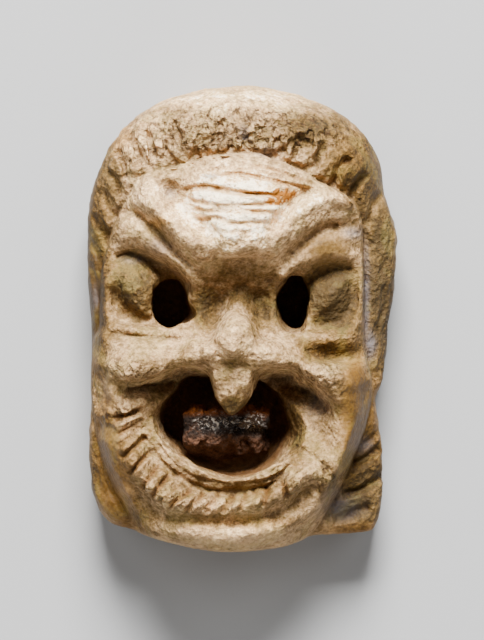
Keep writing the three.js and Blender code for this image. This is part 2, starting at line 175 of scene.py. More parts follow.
# Outlines of the mask, its face and the holes through the face, seen from the front
OUTLINE = [
    (0.2, 23.4), (6.6, 22.3), (11.6, 19.4), (13.8, 16.0), (14.4, 12.6), (15.3, 9.8), (15.6, 5.0),
    (14.9, -1.5), (14.4, -6.0), (13.55, -8.2), (14.1, -12.5), (14.3, -17.0), (13.6, -20.6),
    (11.6, -21.6), (7.2, -21.9), (3.6, -23.0), (-2.0, -23.4), (-7.0, -22.6), (-10.6, -21.4),
    (-13.6, -20.2), (-15.2, -17.0), (-15.5, -12.0), (-15.2, -3.0), (-15.58, 4.0), (-15.5, 10.0),
    (-14.5, 15.0), (-12.0, 19.2), (-7.4, 22.2),
]
FACE_EDGE = [
    (-10.9, 12.6, 12.8), (-10.3, 13.9, 13.4), (-8.4, 14.7, 13.9), (-6.0, 15.2, 14.2), (-3.4, 16.1, 14.4),
    (0.6, 16.4, 14.5), (3.0, 15.9, 14.4), (5.8, 14.8, 14.2), (7.6, 13.6, 14.0), (9.4, 12.8, 13.7),
    (11.1, 11.6, 12.8), (11.9, 9.4, 12.0), (12.1, 6.0, 11.5), (12.2, 2.0, 11.3), (12.1, -1.5, 11.2),
    (12.4, -3.8, 11.2), (12.9, -6.0, 11.2), (12.8, -8.5, 11.0), (12.1, -11.4, 10.8), (11.0, -14.2, 10.4),
    (9.6, -17.2, 9.8), (7.8, -20.3, 9.4), (6.2, -22.0, 10.0), (4.4, -23.6, 11.0), (-0.6, -24.4, 11.5),
    (-5.4, -24.0, 11.5), (-8.8, -23.2, 10.5), (-10.4, -21.4, 9.4), (-11.6, -19.3, 9.2),
    (-12.8, -17.0, 9.4), (-13.9, -14.0, 9.9), (-14.6, -11.0, 10.2), (-15.1, -7.5, 10.2),
    (-15.1, -4.5, 10.2), (-14.9, -2.2, 10.2), (-14.2, -0.8, 10.6), (-14.1, 2.5, 10.4),
    (-13.9, 5.0, 10.6), (-13.3, 7.4, 11.0), (-12.6, 9.6, 11.4), (-11.7, 11.3, 12.0),
]
MOUTH = [
    (-8.5, -10.7), (-7.5, -12.6), (-5.4, -14.5), (-2.6, -15.9), (0.6, -15.9), (3.7, -14.8),
    (5.7, -13.0), (6.3, -10.6), (5.6, -8.2), (4.6, -6.5), (3.0, -5.7), (0.8, -5.4), (-3.2, -5.2),
    (-5.2, -5.2), (-6.5, -5.9), (-7.4, -7.3), (-8.5, -9.1),
]
TONGUE = [
    (-3.9, -4.6), (2.4, -4.6), (1.7, -5.8), (1.1, -7.0), (0.35, -8.2), (-0.4, -9.1), (-1.0, -9.5),
    (-1.6, -9.1), (-2.3, -8.2), (-2.9, -7.0), (-3.3, -5.8),
]

# The face's lines, each as points of x, y and height: the crests, edges and hollows that the carver's
# planes run between
FOREHEAD_LINES = [
    [(-9.6, 13.7, 14.3), (-7.8, 14.1, 14.5), (-5.6, 14.6, 14.8), (-3.0, 15.3, 15.1), (0.6, 15.6, 15.2),
     (3.0, 15.1, 15.1), (6.0, 13.9, 14.8), (8.4, 12.9, 14.3)],
    [(-4.6, 13.0, 15.8), (-3.2, 13.1, 16.2), (0.0, 13.0, 16.5), (2.8, 12.6, 16.3), (4.2, 12.3, 15.9)],
    [(-3.8, 10.7, 16.6), (-2.4, 10.5, 17.1), (0.0, 10.4, 17.4), (2.0, 10.4, 17.1), (3.3, 10.7, 16.6)],
    [(-2.4, 8.7, 17.2), (-1.4, 8.4, 17.6), (0.0, 8.3, 17.8), (1.2, 8.4, 17.6), (1.9, 8.6, 17.3)],
    [(-2.6, 7.3, 16.9), (-1.0, 7.0, 17.2), (0.2, 7.0, 17.2), (1.4, 7.1, 17.0), (2.3, 7.3, 16.8)],
    [(-2.8, 6.0, 15.0), (-1.0, 5.8, 14.8), (0.2, 5.8, 14.8), (1.4, 5.8, 14.8), (2.6, 6.0, 15.0)],
    [(-2.4, 4.9, 14.0), (0.0, 4.5, 13.7), (2.0, 4.9, 14.0)],
    [(-7.4, 13.4, 13.9), (-6.8, 12.4, 14.0), (-6.1, 11.4, 14.3), (-5.2, 10.3, 14.7), (-4.3, 9.3, 15.2),
     (-3.4, 8.4, 15.9)],
    [(7.2, 12.9, 13.8), (6.0, 12.4, 14.0), (5.1, 11.6, 14.4), (4.3, 10.7, 14.9), (3.6, 9.6, 15.3),
     (2.9, 8.6, 16.0)],
]
LEFT_BROW_LINES = [
    [(-10.3, 12.9, 14.1), (-9.5, 12.1, 14.8), (-8.5, 11.1, 15.5), (-7.5, 10.2, 16.0), (-6.4, 9.3, 16.4),
     (-5.3, 8.4, 16.7), (-4.2, 7.7, 16.8), (-3.1, 7.2, 16.8)],
    [(-10.8, 12.0, 13.6), (-9.9, 11.2, 14.6), (-8.9, 10.3, 15.3), (-7.9, 9.4, 15.8), (-6.8, 8.4, 16.1),
     (-5.7, 7.4, 16.3), (-4.6, 6.8, 16.4), (-3.2, 6.4, 16.3)],
    [(-11.2, 11.3, 12.4), (-10.2, 10.7, 13.1), (-9.1, 9.8, 13.7), (-8.0, 8.7, 14.1), (-6.9, 7.6, 14.5),
     (-5.8, 6.5, 14.7), (-4.7, 5.6, 14.8), (-3.4, 4.7, 14.4)],
    [(-11.9, 10.9, 11.8), (-10.7, 10.5, 12.4), (-9.5, 9.5, 13.0), (-8.3, 8.3, 13.4), (-7.2, 7.1, 13.7),
     (-6.1, 6.0, 14.0), (-5.1, 5.0, 14.0), (-4.0, 3.9, 13.6), (-2.9, 2.9, 12.6)],
    [(-12.6, 7.6, 11.6), (-12.2, 8.9, 12.4), (-11.3, 9.7, 13.0), (-10.2, 9.5, 13.6), (-9.1, 8.5, 14.1),
     (-7.9, 7.3, 14.4), (-6.8, 6.2, 14.6), (-5.7, 5.2, 14.5), (-4.7, 4.2, 14.0), (-3.7, 3.3, 13.0)],
    [(-12.2, 8.0, 12.6), (-10.8, 8.2, 13.4), (-9.4, 7.3, 13.8), (-8.1, 6.3, 14.0)],
    [(-12.7, 6.7, 11.4), (-11.9, 7.2, 12.0), (-11.0, 7.3, 12.5), (-9.9, 6.9, 12.9), (-8.8, 6.4, 13.2),
     (-7.6, 5.8, 13.5), (-6.5, 5.0, 13.7), (-5.5, 4.1, 13.7), (-4.6, 3.2, 13.2)],
]
RIGHT_BROW_LINES = [
    [(11.2, 11.0, 12.9), (10.4, 11.8, 13.9), (9.1, 12.1, 14.7), (7.7, 11.8, 15.3), (6.4, 11.1, 15.8),
     (5.3, 10.2, 16.3), (4.2, 9.0, 16.6), (3.2, 7.9, 16.7)],
    [(11.2, 10.3, 12.4), (10.2, 10.9, 13.3), (8.9, 11.0, 14.0), (7.7, 10.5, 14.7), (6.5, 9.6, 15.2),
     (5.3, 8.5, 15.6), (4.2, 7.4, 15.8), (3.0, 6.4, 15.8)],
    [(11.2, 9.6, 12.0), (10.1, 9.9, 12.9), (8.7, 9.8, 13.6), (7.4, 9.2, 14.2), (6.1, 8.2, 14.6),
     (4.9, 7.0, 14.9), (3.8, 5.9, 14.9), (2.7, 4.9, 14.3)],
    [(11.4, 9.1, 11.8), (9.8, 9.2, 12.4), (8.4, 9.0, 12.9), (7.0, 8.4, 13.3), (5.7, 7.3, 13.6),
     (4.5, 6.1, 13.8), (3.5, 4.9, 13.6), (2.6, 3.8, 12.6)],
    [(11.5, 6.8, 11.7), (11.1, 7.8, 12.5), (9.9, 8.4, 13.2), (8.4, 8.2, 13.6), (7.0, 7.5, 14.0),
     (5.6, 6.3, 14.2), (4.4, 5.0, 14.2), (3.5, 4.0, 13.7)],
    [(11.0, 6.6, 12.6), (9.4, 6.9, 13.5), (8.0, 6.7, 13.8), (6.8, 5.9, 13.8)],
    [(11.1, 5.6, 11.8), (9.8, 5.9, 12.6), (8.4, 5.8, 13.0), (7.0, 5.3, 13.2), (5.8, 4.6, 13.3),
     (4.6, 3.8, 13.1)],
]
LEFT_EYE_LINES = [
    [(-12.5, 6.0, 10.8), (-11.7, 6.45, 11.1), (-10.9, 6.5, 11.2), (-9.8, 6.1, 11.2), (-8.7, 5.7, 11.0),
     (-7.7, 5.2, 10.8), (-6.6, 4.5, 10.6), (-5.6, 3.6, 10.4)],
    [(-12.4, 5.3, 11.7), (-11.2, 5.5, 12.0), (-9.8, 5.1, 12.0), (-8.6, 4.5, 11.5)],
    [(-12.0, 4.3, 12.5), (-11.2, 3.6, 13.1), (-10.5, 2.6, 13.3), (-10.2, 1.5, 12.9), (-10.2, 0.6, 12.3)],
    [(-13.0, 3.0, 11.4), (-12.7, 1.5, 11.3), (-11.8, 0.5, 11.4), (-10.4, 0.0, 11.6)],
    [(-13.1, 6.2, 11.2), (-13.5, 4.2, 12.0), (-13.6, 2.2, 12.3), (-13.6, 0.6, 12.6)],
    [(-13.6, -0.4, 12.7), (-12.5, -0.6, 13.1), (-11.2, -0.95, 13.3), (-9.6, -1.25, 13.5),
     (-7.8, -1.35, 13.6), (-6.0, -1.4, 13.8), (-4.4, -1.3, 13.8), (-3.6, -0.9, 13.2)],
    [(-12.4, 0.0, 11.8), (-11.2, -0.35, 11.9), (-9.6, -0.65, 12.0), (-8.6, -0.8, 12.0)],
    [(-13.4, -1.6, 13.0), (-11.4, -1.7, 13.1), (-9.4, -1.85, 13.4), (-7.4, -2.0, 13.7), (-6.0, -2.1, 14.0)],
]
RIGHT_EYE_LINES = [
    [(10.9, 4.9, 11.0), (9.7, 5.2, 11.4), (8.4, 5.1, 11.4), (7.2, 4.7, 11.1), (6.0, 4.0, 10.7),
     (4.8, 3.3, 10.4)],
    [(10.6, 4.2, 11.8), (9.6, 3.4, 12.7), (8.9, 2.4, 13.0), (8.2, 1.3, 12.5), (7.8, 0.4, 11.8)],
    [(11.2, 3.6, 11.2), (11.1, 1.4, 11.2), (10.3, -0.1, 11.3), (8.8, -0.7, 11.5), (7.4, -0.85, 11.6)],
    [(11.7, 4.6, 11.9), (11.8, 2.0, 12.1), (11.8, 0.4, 12.3), (11.2, -0.8, 12.6), (10.2, -1.4, 13.0),
     (8.8, -1.65, 13.2), (7.0, -1.8, 13.5), (5.2, -1.8, 13.7), (3.8, -1.6, 13.4)],
    [(11.5, -1.5, 12.5), (10.4, -1.8, 12.9), (8.8, -2.05, 13.2), (7.0, -2.2, 13.5), (5.4, -2.5, 13.8)],
    [(12.0, -3.95, 11.8), (10.8, -4.1, 12.15), (9.2, -4.1, 12.45), (7.6, -3.85, 12.8), (6.4, -3.3, 13.5)],
]
NOSE_LINES = [
    [(0.0, 3.4, 12.6), (-0.3, 2.2, 13.0), (-0.6, 1.2, 13.9), (-0.8, 0.2, 15.4), (-0.9, -0.8, 16.9),
     (-0.9, -1.8, 17.55), (-0.8, -2.7, 17.7), (-0.8, -3.5, 17.5)],
    [(-1.3, 2.4, 12.3), (-1.6, 1.2, 13.0), (-1.8, 0.2, 14.4), (-2.0, -0.9, 15.9), (-2.1, -1.9, 16.7)],
    [(0.7, 2.4, 12.3), (0.5, 1.2, 13.2), (0.4, 0.2, 14.7), (0.5, -0.9, 16.1), (0.7, -1.9, 16.9)],
    [(-2.1, 2.0, 11.6), (-2.3, 0.8, 12.0), (-2.6, -0.4, 12.7), (-3.0, -1.5, 13.8), (-3.8, -2.1, 14.7)],
    [(1.7, 2.0, 11.4), (1.8, 0.8, 11.9), (1.9, -0.4, 12.9), (2.3, -1.5, 14.0), (3.2, -2.1, 14.8)],
    [(-6.5, -3.5, 14.8), (-5.4, -3.1, 15.5), (-4.3, -2.9, 16.1), (-3.2, -2.9, 16.5), (-2.3, -3.1, 16.5)],
    [(0.9, -3.1, 16.7), (1.9, -2.9, 16.6), (3.0, -3.0, 16.2), (4.2, -3.3, 15.6), (5.5, -3.8, 14.9)],
    [(-6.4, -4.3, 14.8), (-5.2, -4.3, 15.3), (-4.0, -4.4, 15.7), (-2.8, -4.5, 15.8), (-1.6, -4.7, 15.6),
     (-0.8, -4.7, 15.7), (0.2, -4.7, 15.6), (1.2, -4.6, 15.7), (2.4, -4.6, 15.6), (4.0, -4.6, 15.3),
     (5.5, -4.7, 14.8)],
    [(-0.9, -5.7, 15.5), (-1.0, -7.2, 15.6), (-1.0, -8.4, 15.1), (-1.0, -9.2, 14.4)],
    [(-2.9, -5.7, 14.9), (-2.6, -7.0, 14.9), (-2.2, -8.0, 14.8), (-1.7, -8.9, 14.6)],
    [(1.1, -5.7, 14.9), (0.9, -7.0, 14.9), (0.4, -8.0, 14.8), (-0.3, -8.9, 14.6)],
    [(-6.5, -5.4, 10.4), (-5.3, -5.4, 9.8), (-4.2, -5.6, 9.6), (-3.8, -6.4, 9.6), (-3.6, -7.3, 9.6)],
    [(-7.0, -6.9, 9.9), (-5.6, -7.0, 9.4), (-4.4, -7.2, 9.2)],
    [(5.4, -5.6, 10.2), (4.2, -5.5, 9.8), (2.8, -5.6, 9.6), (2.0, -6.3, 9.6), (1.7, -7.2, 9.6)],
    [(6.0, -6.9, 9.8), (4.6, -7.0, 9.4), (3.0, -7.2, 9.2)],
]
LEFT_CHEEK_LINES = [
    [(-14.4, -1.4, 12.9), (-13.4, -2.0, 13.8), (-11.4, -2.3, 14.1), (-9.2, -2.4, 14.2), (-7.2, -2.6, 14.4),
     (-5.8, -2.7, 14.6)],
    [(-14.4, -4.4, 13.4), (-12.8, -4.3, 15.2), (-11.0, -4.4, 15.9), (-9.2, -4.4, 16.0), (-7.6, -4.1, 15.7),
     (-6.6, -3.8, 15.1)],
    [(-12.6, -6.0, 14.7), (-11.8, -5.9, 15.0), (-10.2, -5.8, 15.4), (-8.8, -5.5, 15.3),
     (-7.6, -5.1, 15.0), (-6.7, -4.7, 14.5)],
    [(-11.7, -6.9, 12.9), (-10.8, -6.9, 11.9), (-9.4, -6.7, 11.0), (-8.0, -6.4, 10.2), (-7.1, -5.9, 9.7)],
    [(-13.3, -5.6, 14.6), (-13.1, -7.2, 14.2), (-12.9, -8.6, 13.9), (-13.3, -10.0, 13.6)],
    [(-12.3, -8.3, 13.7), (-10.8, -8.3, 13.6), (-9.6, -8.2, 13.2), (-8.9, -8.6, 12.2)],
    [(-14.0, -11.6, 12.6), (-13.3, -14.0, 12.8), (-12.2, -16.6, 12.8), (-10.9, -18.8, 12.6),
     (-9.8, -20.6, 12.0)],
]
RIGHT_CHEEK_LINES = [
    [(12.5, -4.6, 12.4), (11.4, -4.85, 13.6), (10.0, -4.85, 14.1), (8.4, -4.65, 14.3), (6.8, -4.2, 14.6),
     (5.8, -3.8, 14.8)],
    [(12.5, -6.0, 12.4), (11.4, -6.4, 14.2), (10.0, -6.3, 15.3), (8.8, -5.7, 15.8), (7.6, -5.1, 15.7),
     (6.5, -4.8, 15.2)],
    [(10.4, -8.6, 14.5), (9.4, -8.1, 14.9), (8.5, -7.3, 15.0), (7.7, -6.5, 14.9), (6.9, -5.8, 14.7),
     (6.0, -5.3, 14.4)],
    [(9.4, -10.0, 13.9), (8.6, -9.3, 12.8), (7.6, -8.2, 11.0), (6.6, -7.2, 9.8)],
    [(7.0, -10.8, 12.2), (8.2, -11.7, 13.2), (9.3, -12.6, 13.9)],
    [(6.8, -12.7, 13.0), (7.6, -13.5, 14.0), (8.5, -14.4, 14.4)],
    [(11.7, -7.8, 13.4), (11.3, -9.6, 13.9), (10.6, -12.0, 14.1), (9.8, -14.2, 14.2), (9.0, -16.0, 14.0),
     (8.1, -17.8, 13.2), (7.1, -19.4, 12.4)],
]
LIP_LINES = [
    [(-9.0, -9.6, 12.4), (-9.0, -11.2, 12.9), (-8.2, -12.9, 13.4), (-6.8, -14.4, 13.7), (-5.0, -15.6, 13.9),
     (-3.0, -16.4, 14.0), (-0.6, -16.6, 14.0), (1.8, -16.3, 14.0), (3.8, -15.4, 13.8), (5.5, -14.2, 13.6),
     (6.5, -12.8, 13.2), (6.8, -11.2, 12.8)],
    [(-9.9, -10.9, 12.8), (-9.4, -12.3, 13.0), (-8.3, -13.8, 13.2), (-6.9, -15.2, 13.4),
     (-5.3, -16.2, 13.5), (-3.3, -17.0, 13.5), (-1.0, -17.25, 13.5), (1.4, -17.0, 13.5),
     (3.2, -16.3, 13.5), (4.7, -15.4, 13.5)],
    [(-12.6, -9.9, 13.9), (-12.2, -11.4, 14.6), (-11.4, -13.0, 15.0), (-10.5, -14.6, 15.2),
     (-9.4, -16.1, 15.4), (-8.1, -17.3, 15.5), (-6.6, -18.0, 15.6), (-5.0, -18.4, 15.7),
     (-3.2, -18.6, 15.8), (-1.4, -18.7, 15.8), (0.4, -18.5, 15.8), (2.2, -17.9, 15.7),
     (3.9, -17.1, 15.6), (5.4, -16.0, 15.2), (6.8, -14.8, 14.8)],
    [(-12.9, -13.6, 13.6), (-11.8, -16.0, 13.6), (-10.2, -18.0, 13.4), (-8.4, -19.3, 13.8),
     (-6.4, -19.9, 14.2), (-4.2, -20.1, 14.3), (-2.0, -20.3, 14.2), (0.2, -20.2, 14.2),
     (2.0, -19.7, 14.0), (4.0, -18.9, 13.6), (5.6, -17.8, 13.2), (7.2, -16.6, 13.2)],
    [(-9.2, -20.8, 12.9), (-7.2, -21.3, 14.0), (-4.6, -21.5, 14.6), (-1.4, -21.6, 14.8), (1.6, -21.3, 14.6),
     (4.4, -20.4, 14.0), (6.6, -19.0, 13.0)],
]
GROUPS = (
    FOREHEAD_LINES, LEFT_BROW_LINES, RIGHT_BROW_LINES, LEFT_EYE_LINES, RIGHT_EYE_LINES, NOSE_LINES,
    LEFT_CHEEK_LINES, RIGHT_CHEEK_LINES, LIP_LINES,
)

# The skin over the lines: the pitch of its grid, how often and how eagerly it settles, where it starts,
# how full it swells, how far it is rounded over its lines and how often it is drawn back to them
SKIN_PITCH = 0.25
SKIN_SWEEPS = 300
EAGERNESS = 1.85
SKIN_START = 12.0
FULLNESS = 0.22
ROUNDING = 0.36
TIGHTENINGS = 2
BASE_HEIGHT = 9.0
DEEPENING = 1.25


def deepened(height):
    """Heights over the base are cut deeper than they are drawn."""
    return np.where(height > BASE_HEIGHT, BASE_HEIGHT + DEEPENING * (height - BASE_HEIGHT), height)


def softened(field, spacing, radius):
    """A field over an even grid, averaged over a radius in millimetres."""
    for axis, count in enumerate(field.shape):
        away = (np.arange(count)[:, None] - np.arange(count)[None, :]) * spacing / radius
        weights = np.exp(-0.5 * away ** 2)
        weights /= weights.sum(1, keepdims=True)
        field = np.moveaxis(np.tensordot(weights, field, (1, axis)), 0, axis)
    return field


def settled(height, free, fullness):
    """A skin at rest: each free place at the mean of those beside it, a little full."""
    even = np.indices(height.shape).sum(0) % 2 == 0
    for _ in range(SKIN_SWEEPS):
        for squares in (even & free, ~even & free):
            padded = np.pad(height, 1, mode="edge")
            around = (padded[2:, 1:-1] + padded[:-2, 1:-1] + padded[1:-1, 2:] + padded[1:-1, :-2]) / 4
            height = height + EAGERNESS * (around + fullness * SKIN_PITCH ** 2 / 4 - height) * squares
    return height


def stretched(lines):
    """A skin held at its lines and rounded over them: heights over the grid."""
    across, along = spline_weights(x_line, SKIN_PITCH), spline_weights(y_line, SKIN_PITCH)
    shape = (across.shape[1], along.shape[1])
    total, hits = np.zeros(shape), np.zeros(shape)
    for line in lines:
        i = np.rint((line[:, 0] - x_line[0]) / SKIN_PITCH).astype(int) + 1
        j = np.rint((line[:, 1] - y_line[0]) / SKIN_PITCH).astype(int) + 1
        np.add.at(total, (i, j), line[:, 2])
        np.add.at(hits, (i, j), 1)
    free = hits == 0
    target = np.where(free, SKIN_START, total / np.maximum(hits, 1))
    height = softened(settled(target, free, FULLNESS), SKIN_PITCH, ROUNDING)
    for _ in range(TIGHTENINGS):
        missing = settled(np.where(free, 0, target - height), free, 0)
        height = height + softened(missing, SKIN_PITCH, ROUNDING)
    return across @ height @ along.T


outline = depth_inside(OUTLINE)
face = depth_inside([spot[:2] for spot in FACE_EDGE])
mouth = depth_inside(MOUTH)
tongue = depth_inside(TONGUE)

# The cap of hair: a thick roll over the crown that thins down both sides, a little lower on the right,
# with a shallow hollow and a fine cut where it meets the face
RIM_HEIGHT = 6.0
SIDE_HAIR_HEIGHT = 9.8
CROWN_HAIR_HEIGHT = 14.0
SIDE_HAIR_ROUNDING = 2.2
CROWN_HAIR_ROUNDING = 5.8
HAIR_HOLLOW = 0.3
HAIR_CUT = 0.25

# How far each place lies on the right-hand side, up on the crown and down at the foot
right = ease((X - 4) / 8)
crown = ease((Y - 7) / 9)
foot = ease((-8 - Y) / 8)
right_side = right * (1 - crown)
hair_rounding = mix(SIDE_HAIR_ROUNDING, CROWN_HAIR_ROUNDING, crown) + right_side
hair_top = mix(SIDE_HAIR_HEIGHT, CROWN_HAIR_HEIGHT, crown) - 0.5 * right_side - foot * right
relief += mix(RIM_HEIGHT, hair_top, quarter_round(outline / hair_rounding))
relief -= HAIR_HOLLOW * crown * np.exp(-((face / 1.8) ** 2))
relief -= HAIR_CUT * np.exp(-(((-face - 0.15) / 0.35) ** 2))

# The face stands out of the hair, and its sides fall steeply where it comes near the outline
EDGE_RISE = 9.0
EDGE_SLOPE = 2.0
held = [smooth_line(FACE_EDGE, closed=True, steps=24)]
held += [smooth_line(line, steps=24) for group in GROUPS for line in group]
relief[:] = mix(relief, stretched(held), ease(face / 0.3 + 0.5))
edge_rounding = 2.0 - ease((-19 - Y) / 3)
side_edge = RIM_HEIGHT + EDGE_RISE * quarter_round(outline / edge_rounding)
side_edge += EDGE_SLOPE * np.clip(outline - 0.5, 0, None)
relief[:] = deepened(np.minimum(relief, side_edge))

# Crisp cuts round the eyes, under the brows, beside the tip of the nose and outside the inner lip: course,
# half width and depth
for points, half_width, depth in (
    ([(-12.7, 5.8), (-12.1, 6.45), (-11.0, 6.6), (-9.9, 6.2), (-8.9, 5.85), (-7.8, 5.4), (-6.7, 4.8),
      (-5.6, 4.0)], 0.35, 0.2),
    ([(11.4, 4.4), (10.9, 5.0), (9.7, 5.35), (8.4, 5.25), (7.0, 4.8), (5.8, 4.0)], 0.35, 0.12),
    ([(-13.4, -1.55), (-11.4, -1.65), (-9.4, -1.8), (-7.4, -1.95), (-5.8, -2.05)], 0.3, 0.32),
    ([(-10.6, 10.6), (-9.4, 9.6), (-8.2, 8.4), (-7.1, 7.2), (-6.0, 6.1), (-5.0, 5.1)], 0.5, 0.2),
    ([(9.8, 9.2), (8.5, 9.05), (7.1, 8.6), (5.8, 7.55), (4.6, 6.4)], 0.5, 0.2),
    ([(11.35, 4.8), (11.45, 3.0), (11.4, 1.0)], 0.3, 0.4),
    ([(12.1, -4.0), (10.6, -4.2), (9.0, -4.15), (7.4, -3.85), (6.0, -3.3)], 0.3, 0.25),
    ([(7.2, 2.2), (8.2, 2.0), (9.1, 2.05)], 0.3, 0.12),
    ([(-3.6, -1.6), (-2.7, -2.2), (-2.3, -3.0), (-2.3, -3.9)], 0.6, 0.35),
    ([(2.7, -1.6), (1.6, -2.2), (1.0, -3.0), (0.9, -3.9)], 0.6, 0.35),
    ([(-10.0, -11.2), (-9.5, -12.4), (-8.4, -13.85), (-6.9, -15.25), (-5.3, -16.25), (-3.3, -17.05),
      (-1.0, -17.3), (1.4, -17.0), (3.4, -16.3), (5.0, -15.3)], 0.38, 0.28),
    ([(-8.7, -12.0), (-7.5, -13.6), (-5.9, -15.0), (-3.9, -15.95), (-1.0, -16.35), (1.6, -16.1),
      (3.8, -15.2), (5.4, -13.9)], 0.22, 0.2),
    ([(5.6, -12.6), (6.4, -13.2), (7.5, -14.0), (8.5, -14.9)], 0.22, 0.3),
    ([(7.9, -14.1), (8.4, -14.9), (8.7, -15.7)], 0.45, 0.3),
):
    groove(points, half_width, depth, fade=(0.08, 0.08), sharpness=1.2)

# The wrinkles scored across the forehead, which run together at its right end: course, half width, depth
unscored = relief.copy()
for points, half_width, depth in (
    ([(-3.4, 14.4), (0.0, 14.3), (2.0, 13.95), (4.2, 13.45), (7.4, 12.9)], 0.34, 0.45),
    ([(0.6, 15.3), (2.8, 14.9), (4.8, 14.2), (7.8, 13.3)], 0.28, 0.34),
    ([(-4.8, 14.1), (-2.6, 14.9), (0.6, 14.8), (3.0, 14.3), (6.4, 13.5)], 0.22, 0.18),
    ([(-6.2, 12.5), (-5.0, 12.95), (-3.6, 13.05), (-2.2, 12.85), (-0.4, 12.5), (2.0, 12.3), (4.4, 12.1)],
     0.42, 0.72),
    ([(-5.5, 11.95), (-4.4, 11.6), (-2.0, 11.2), (1.0, 11.3), (4.6, 11.5)], 0.32, 0.45),
    ([(-5.4, 11.2), (-3.6, 10.75), (-1.0, 10.8), (1.4, 10.6), (4.2, 10.5)], 0.37, 0.52),
    ([(-5.1, 10.4), (-4.2, 9.9), (-2.6, 10.05), (-1.0, 9.5), (1.6, 9.5), (3.4, 9.6)], 0.34, 0.45),
    ([(-3.6, 8.9), (-1.2, 8.6), (1.2, 8.5)], 0.3, 0.22),
    ([(-7.4, 10.0), (-5.8, 10.1)], 0.25, 0.15),
):
    groove(points, half_width, depth, sharpness=1.2)

# The lower lip: pads parted by short tool grooves that radiate from the mouth, at an uneven spacing,
# and slant more towards its right half
LIP_INNER = [
    (-9.8, -9.0), (-9.4, -11.8), (-7.9, -14.6), (-5.4, -16.6), (-2.7, -17.3), (0.4, -17.3), (4.0, -16.0),
]
LIP_OUTER = [
    (-13.0, -9.8), (-12.2, -13.6), (-10.4, -16.8), (-7.4, -18.8), (-3.6, -19.3), (0.6, -19.1), (5.2, -17.6),
]
LIP_GROOVES = 19
LIP_CUT_HALF_WIDTH = 0.5
LIP_CUT_DEPTH = 0.66
PAD_HALF_WIDTH = 0.62
PAD_HEIGHT = 0.45
inner_ends = smooth_line(LIP_INNER, steps=30)
outer_ends = smooth_line(LIP_OUTER, steps=30)
for count in range(LIP_GROOVES * 2 - 1):
    place = (count / 2 + 0.3 * math.sin(0.9 * count)) / (LIP_GROOVES - 1)
    slant = 0.03 - 0.08 * float(ease((place - 0.35) / 0.2))
    start, end = (
        int(min(max(spot, 0), 1) * (len(inner_ends) - 1)) for spot in (place, place + slant)
    )
    ends = [tuple(inner_ends[start]), tuple(outer_ends[end])]
    if count % 2:
        groove(ends, PAD_HALF_WIDTH, -PAD_HEIGHT, fade=(0.25, 0.35), sharpness=1.2)
    else:
        cut = LIP_CUT_DEPTH + 0.14 * math.sin(2.3 * count)
        groove(ends, LIP_CUT_HALF_WIDTH, cut, fade=(0.28, 0.3), sharpness=1.4)

# How deeply each place was scored by those cuts, for the earth left in them and the painted shade put in
# them
FULLY_SCORED = 0.4
scored = np.clip((unscored - relief) / FULLY_SCORED, 0, 1)

# Hair: locks that fan out over the crown, long ones down both sides, slanted ones at the foot. Each is
# given by its two ends, its bend, half width and depth, and has a finer cut beside it.
for x0, y0, x1, y1, bend, half_width, depth in (
    (-7.2, 20.4, -6.2, 16.6, 0.3, 0.5, 0.5), (-8.6, 20.0, -7.4, 16.2, 0.3, 0.5, 0.9),
    (-10.0, 19.4, -8.7, 15.6, 0.3, 0.55, 1.1), (-11.6, 18.6, -10.0, 15.0, 0.4, 0.6, 1.3),
    (-12.8, 17.2, -11.4, 13.4, 0.4, 0.55, 1.1), (-13.9, 15.2, -12.0, 11.8, 0.4, 0.6, 1.2),
    (-14.7, 13.2, -12.8, 9.8, 0.4, 0.6, 0.8), (-15.2, 10.8, -13.5, 7.2, 0.3, 0.6, 0.65),
    (-15.4, 8.2, -14.0, 4.6, 0.3, 0.5, 0.5), (-15.3, 6.0, -14.2, 0.6, 0.2, 0.5, 0.4),
    (4.0, 18.4, 3.4, 16.4, -0.2, 0.5, 0.2), (5.9, 17.4, 5.2, 15.6, -0.2, 0.5, 0.3),
    (8.6, 17.6, 7.2, 14.4, -0.3, 0.55, 1.0), (10.8, 16.4, 8.9, 12.8, -0.3, 0.7, 1.3),
    (12.4, 14.8, 10.8, 11.6, -0.3, 0.6, 1.0), (14.0, 13.0, 12.6, 9.0, -0.3, 0.6, 1.0),
    (14.9, 10.6, 13.5, 3.4, 0.6, 0.5, 0.35), (15.4, 7.0, 13.9, -0.4, 0.6, 0.5, 0.35),
    (14.4, 4.2, 13.1, -2.4, 0.5, 0.5, 0.35), (14.4, -0.6, 13.4, -6.0, 0.3, 0.45, 0.35),
    (-14.9, -12.4, -13.2, -18.6, -0.4, 0.8, 0.6),
):
    lock(x0, y0, x1, y1, bend, half_width, depth, fade=(0.3, 0.3))
    lock(x0 + 0.6, y0, x1 + 0.6, y1, bend, half_width=0.25, depth=0.25, fade=(0.3, 0.3))
for x0, y0, x1, y1, bend, half_width, depth in (
    (14.0, -10.2, 11.9, -12.4, 0.2, 0.8, 0.9), (13.9, -12.4, 10.9, -14.2, 0.2, 0.9, 1.05),
    (14.3, -15.0, 9.9, -17.2, 0.4, 1.1, 1.15), (12.9, -18.2, 9.0, -19.6, 0.3, 1.2, 0.6),
):
    lock(x0, y0, x1, y1, bend, half_width, 0.6 * depth, fade=(0.15, 0.15))
    lock(x0, y0 - 0.5, x1, y1 - 0.5, bend, 0.6 * half_width, 0.8 * depth, fade=(0.15, 0.15))

# A curl over the left temple
for radius in (0.6, 1.2):
    ring = [(-12.1 + radius * math.cos(t), 15.3 + radius * math.sin(t)) for t in np.linspace(0.5, 6.2, 9)]
    groove(ring, 0.3, 0.3)


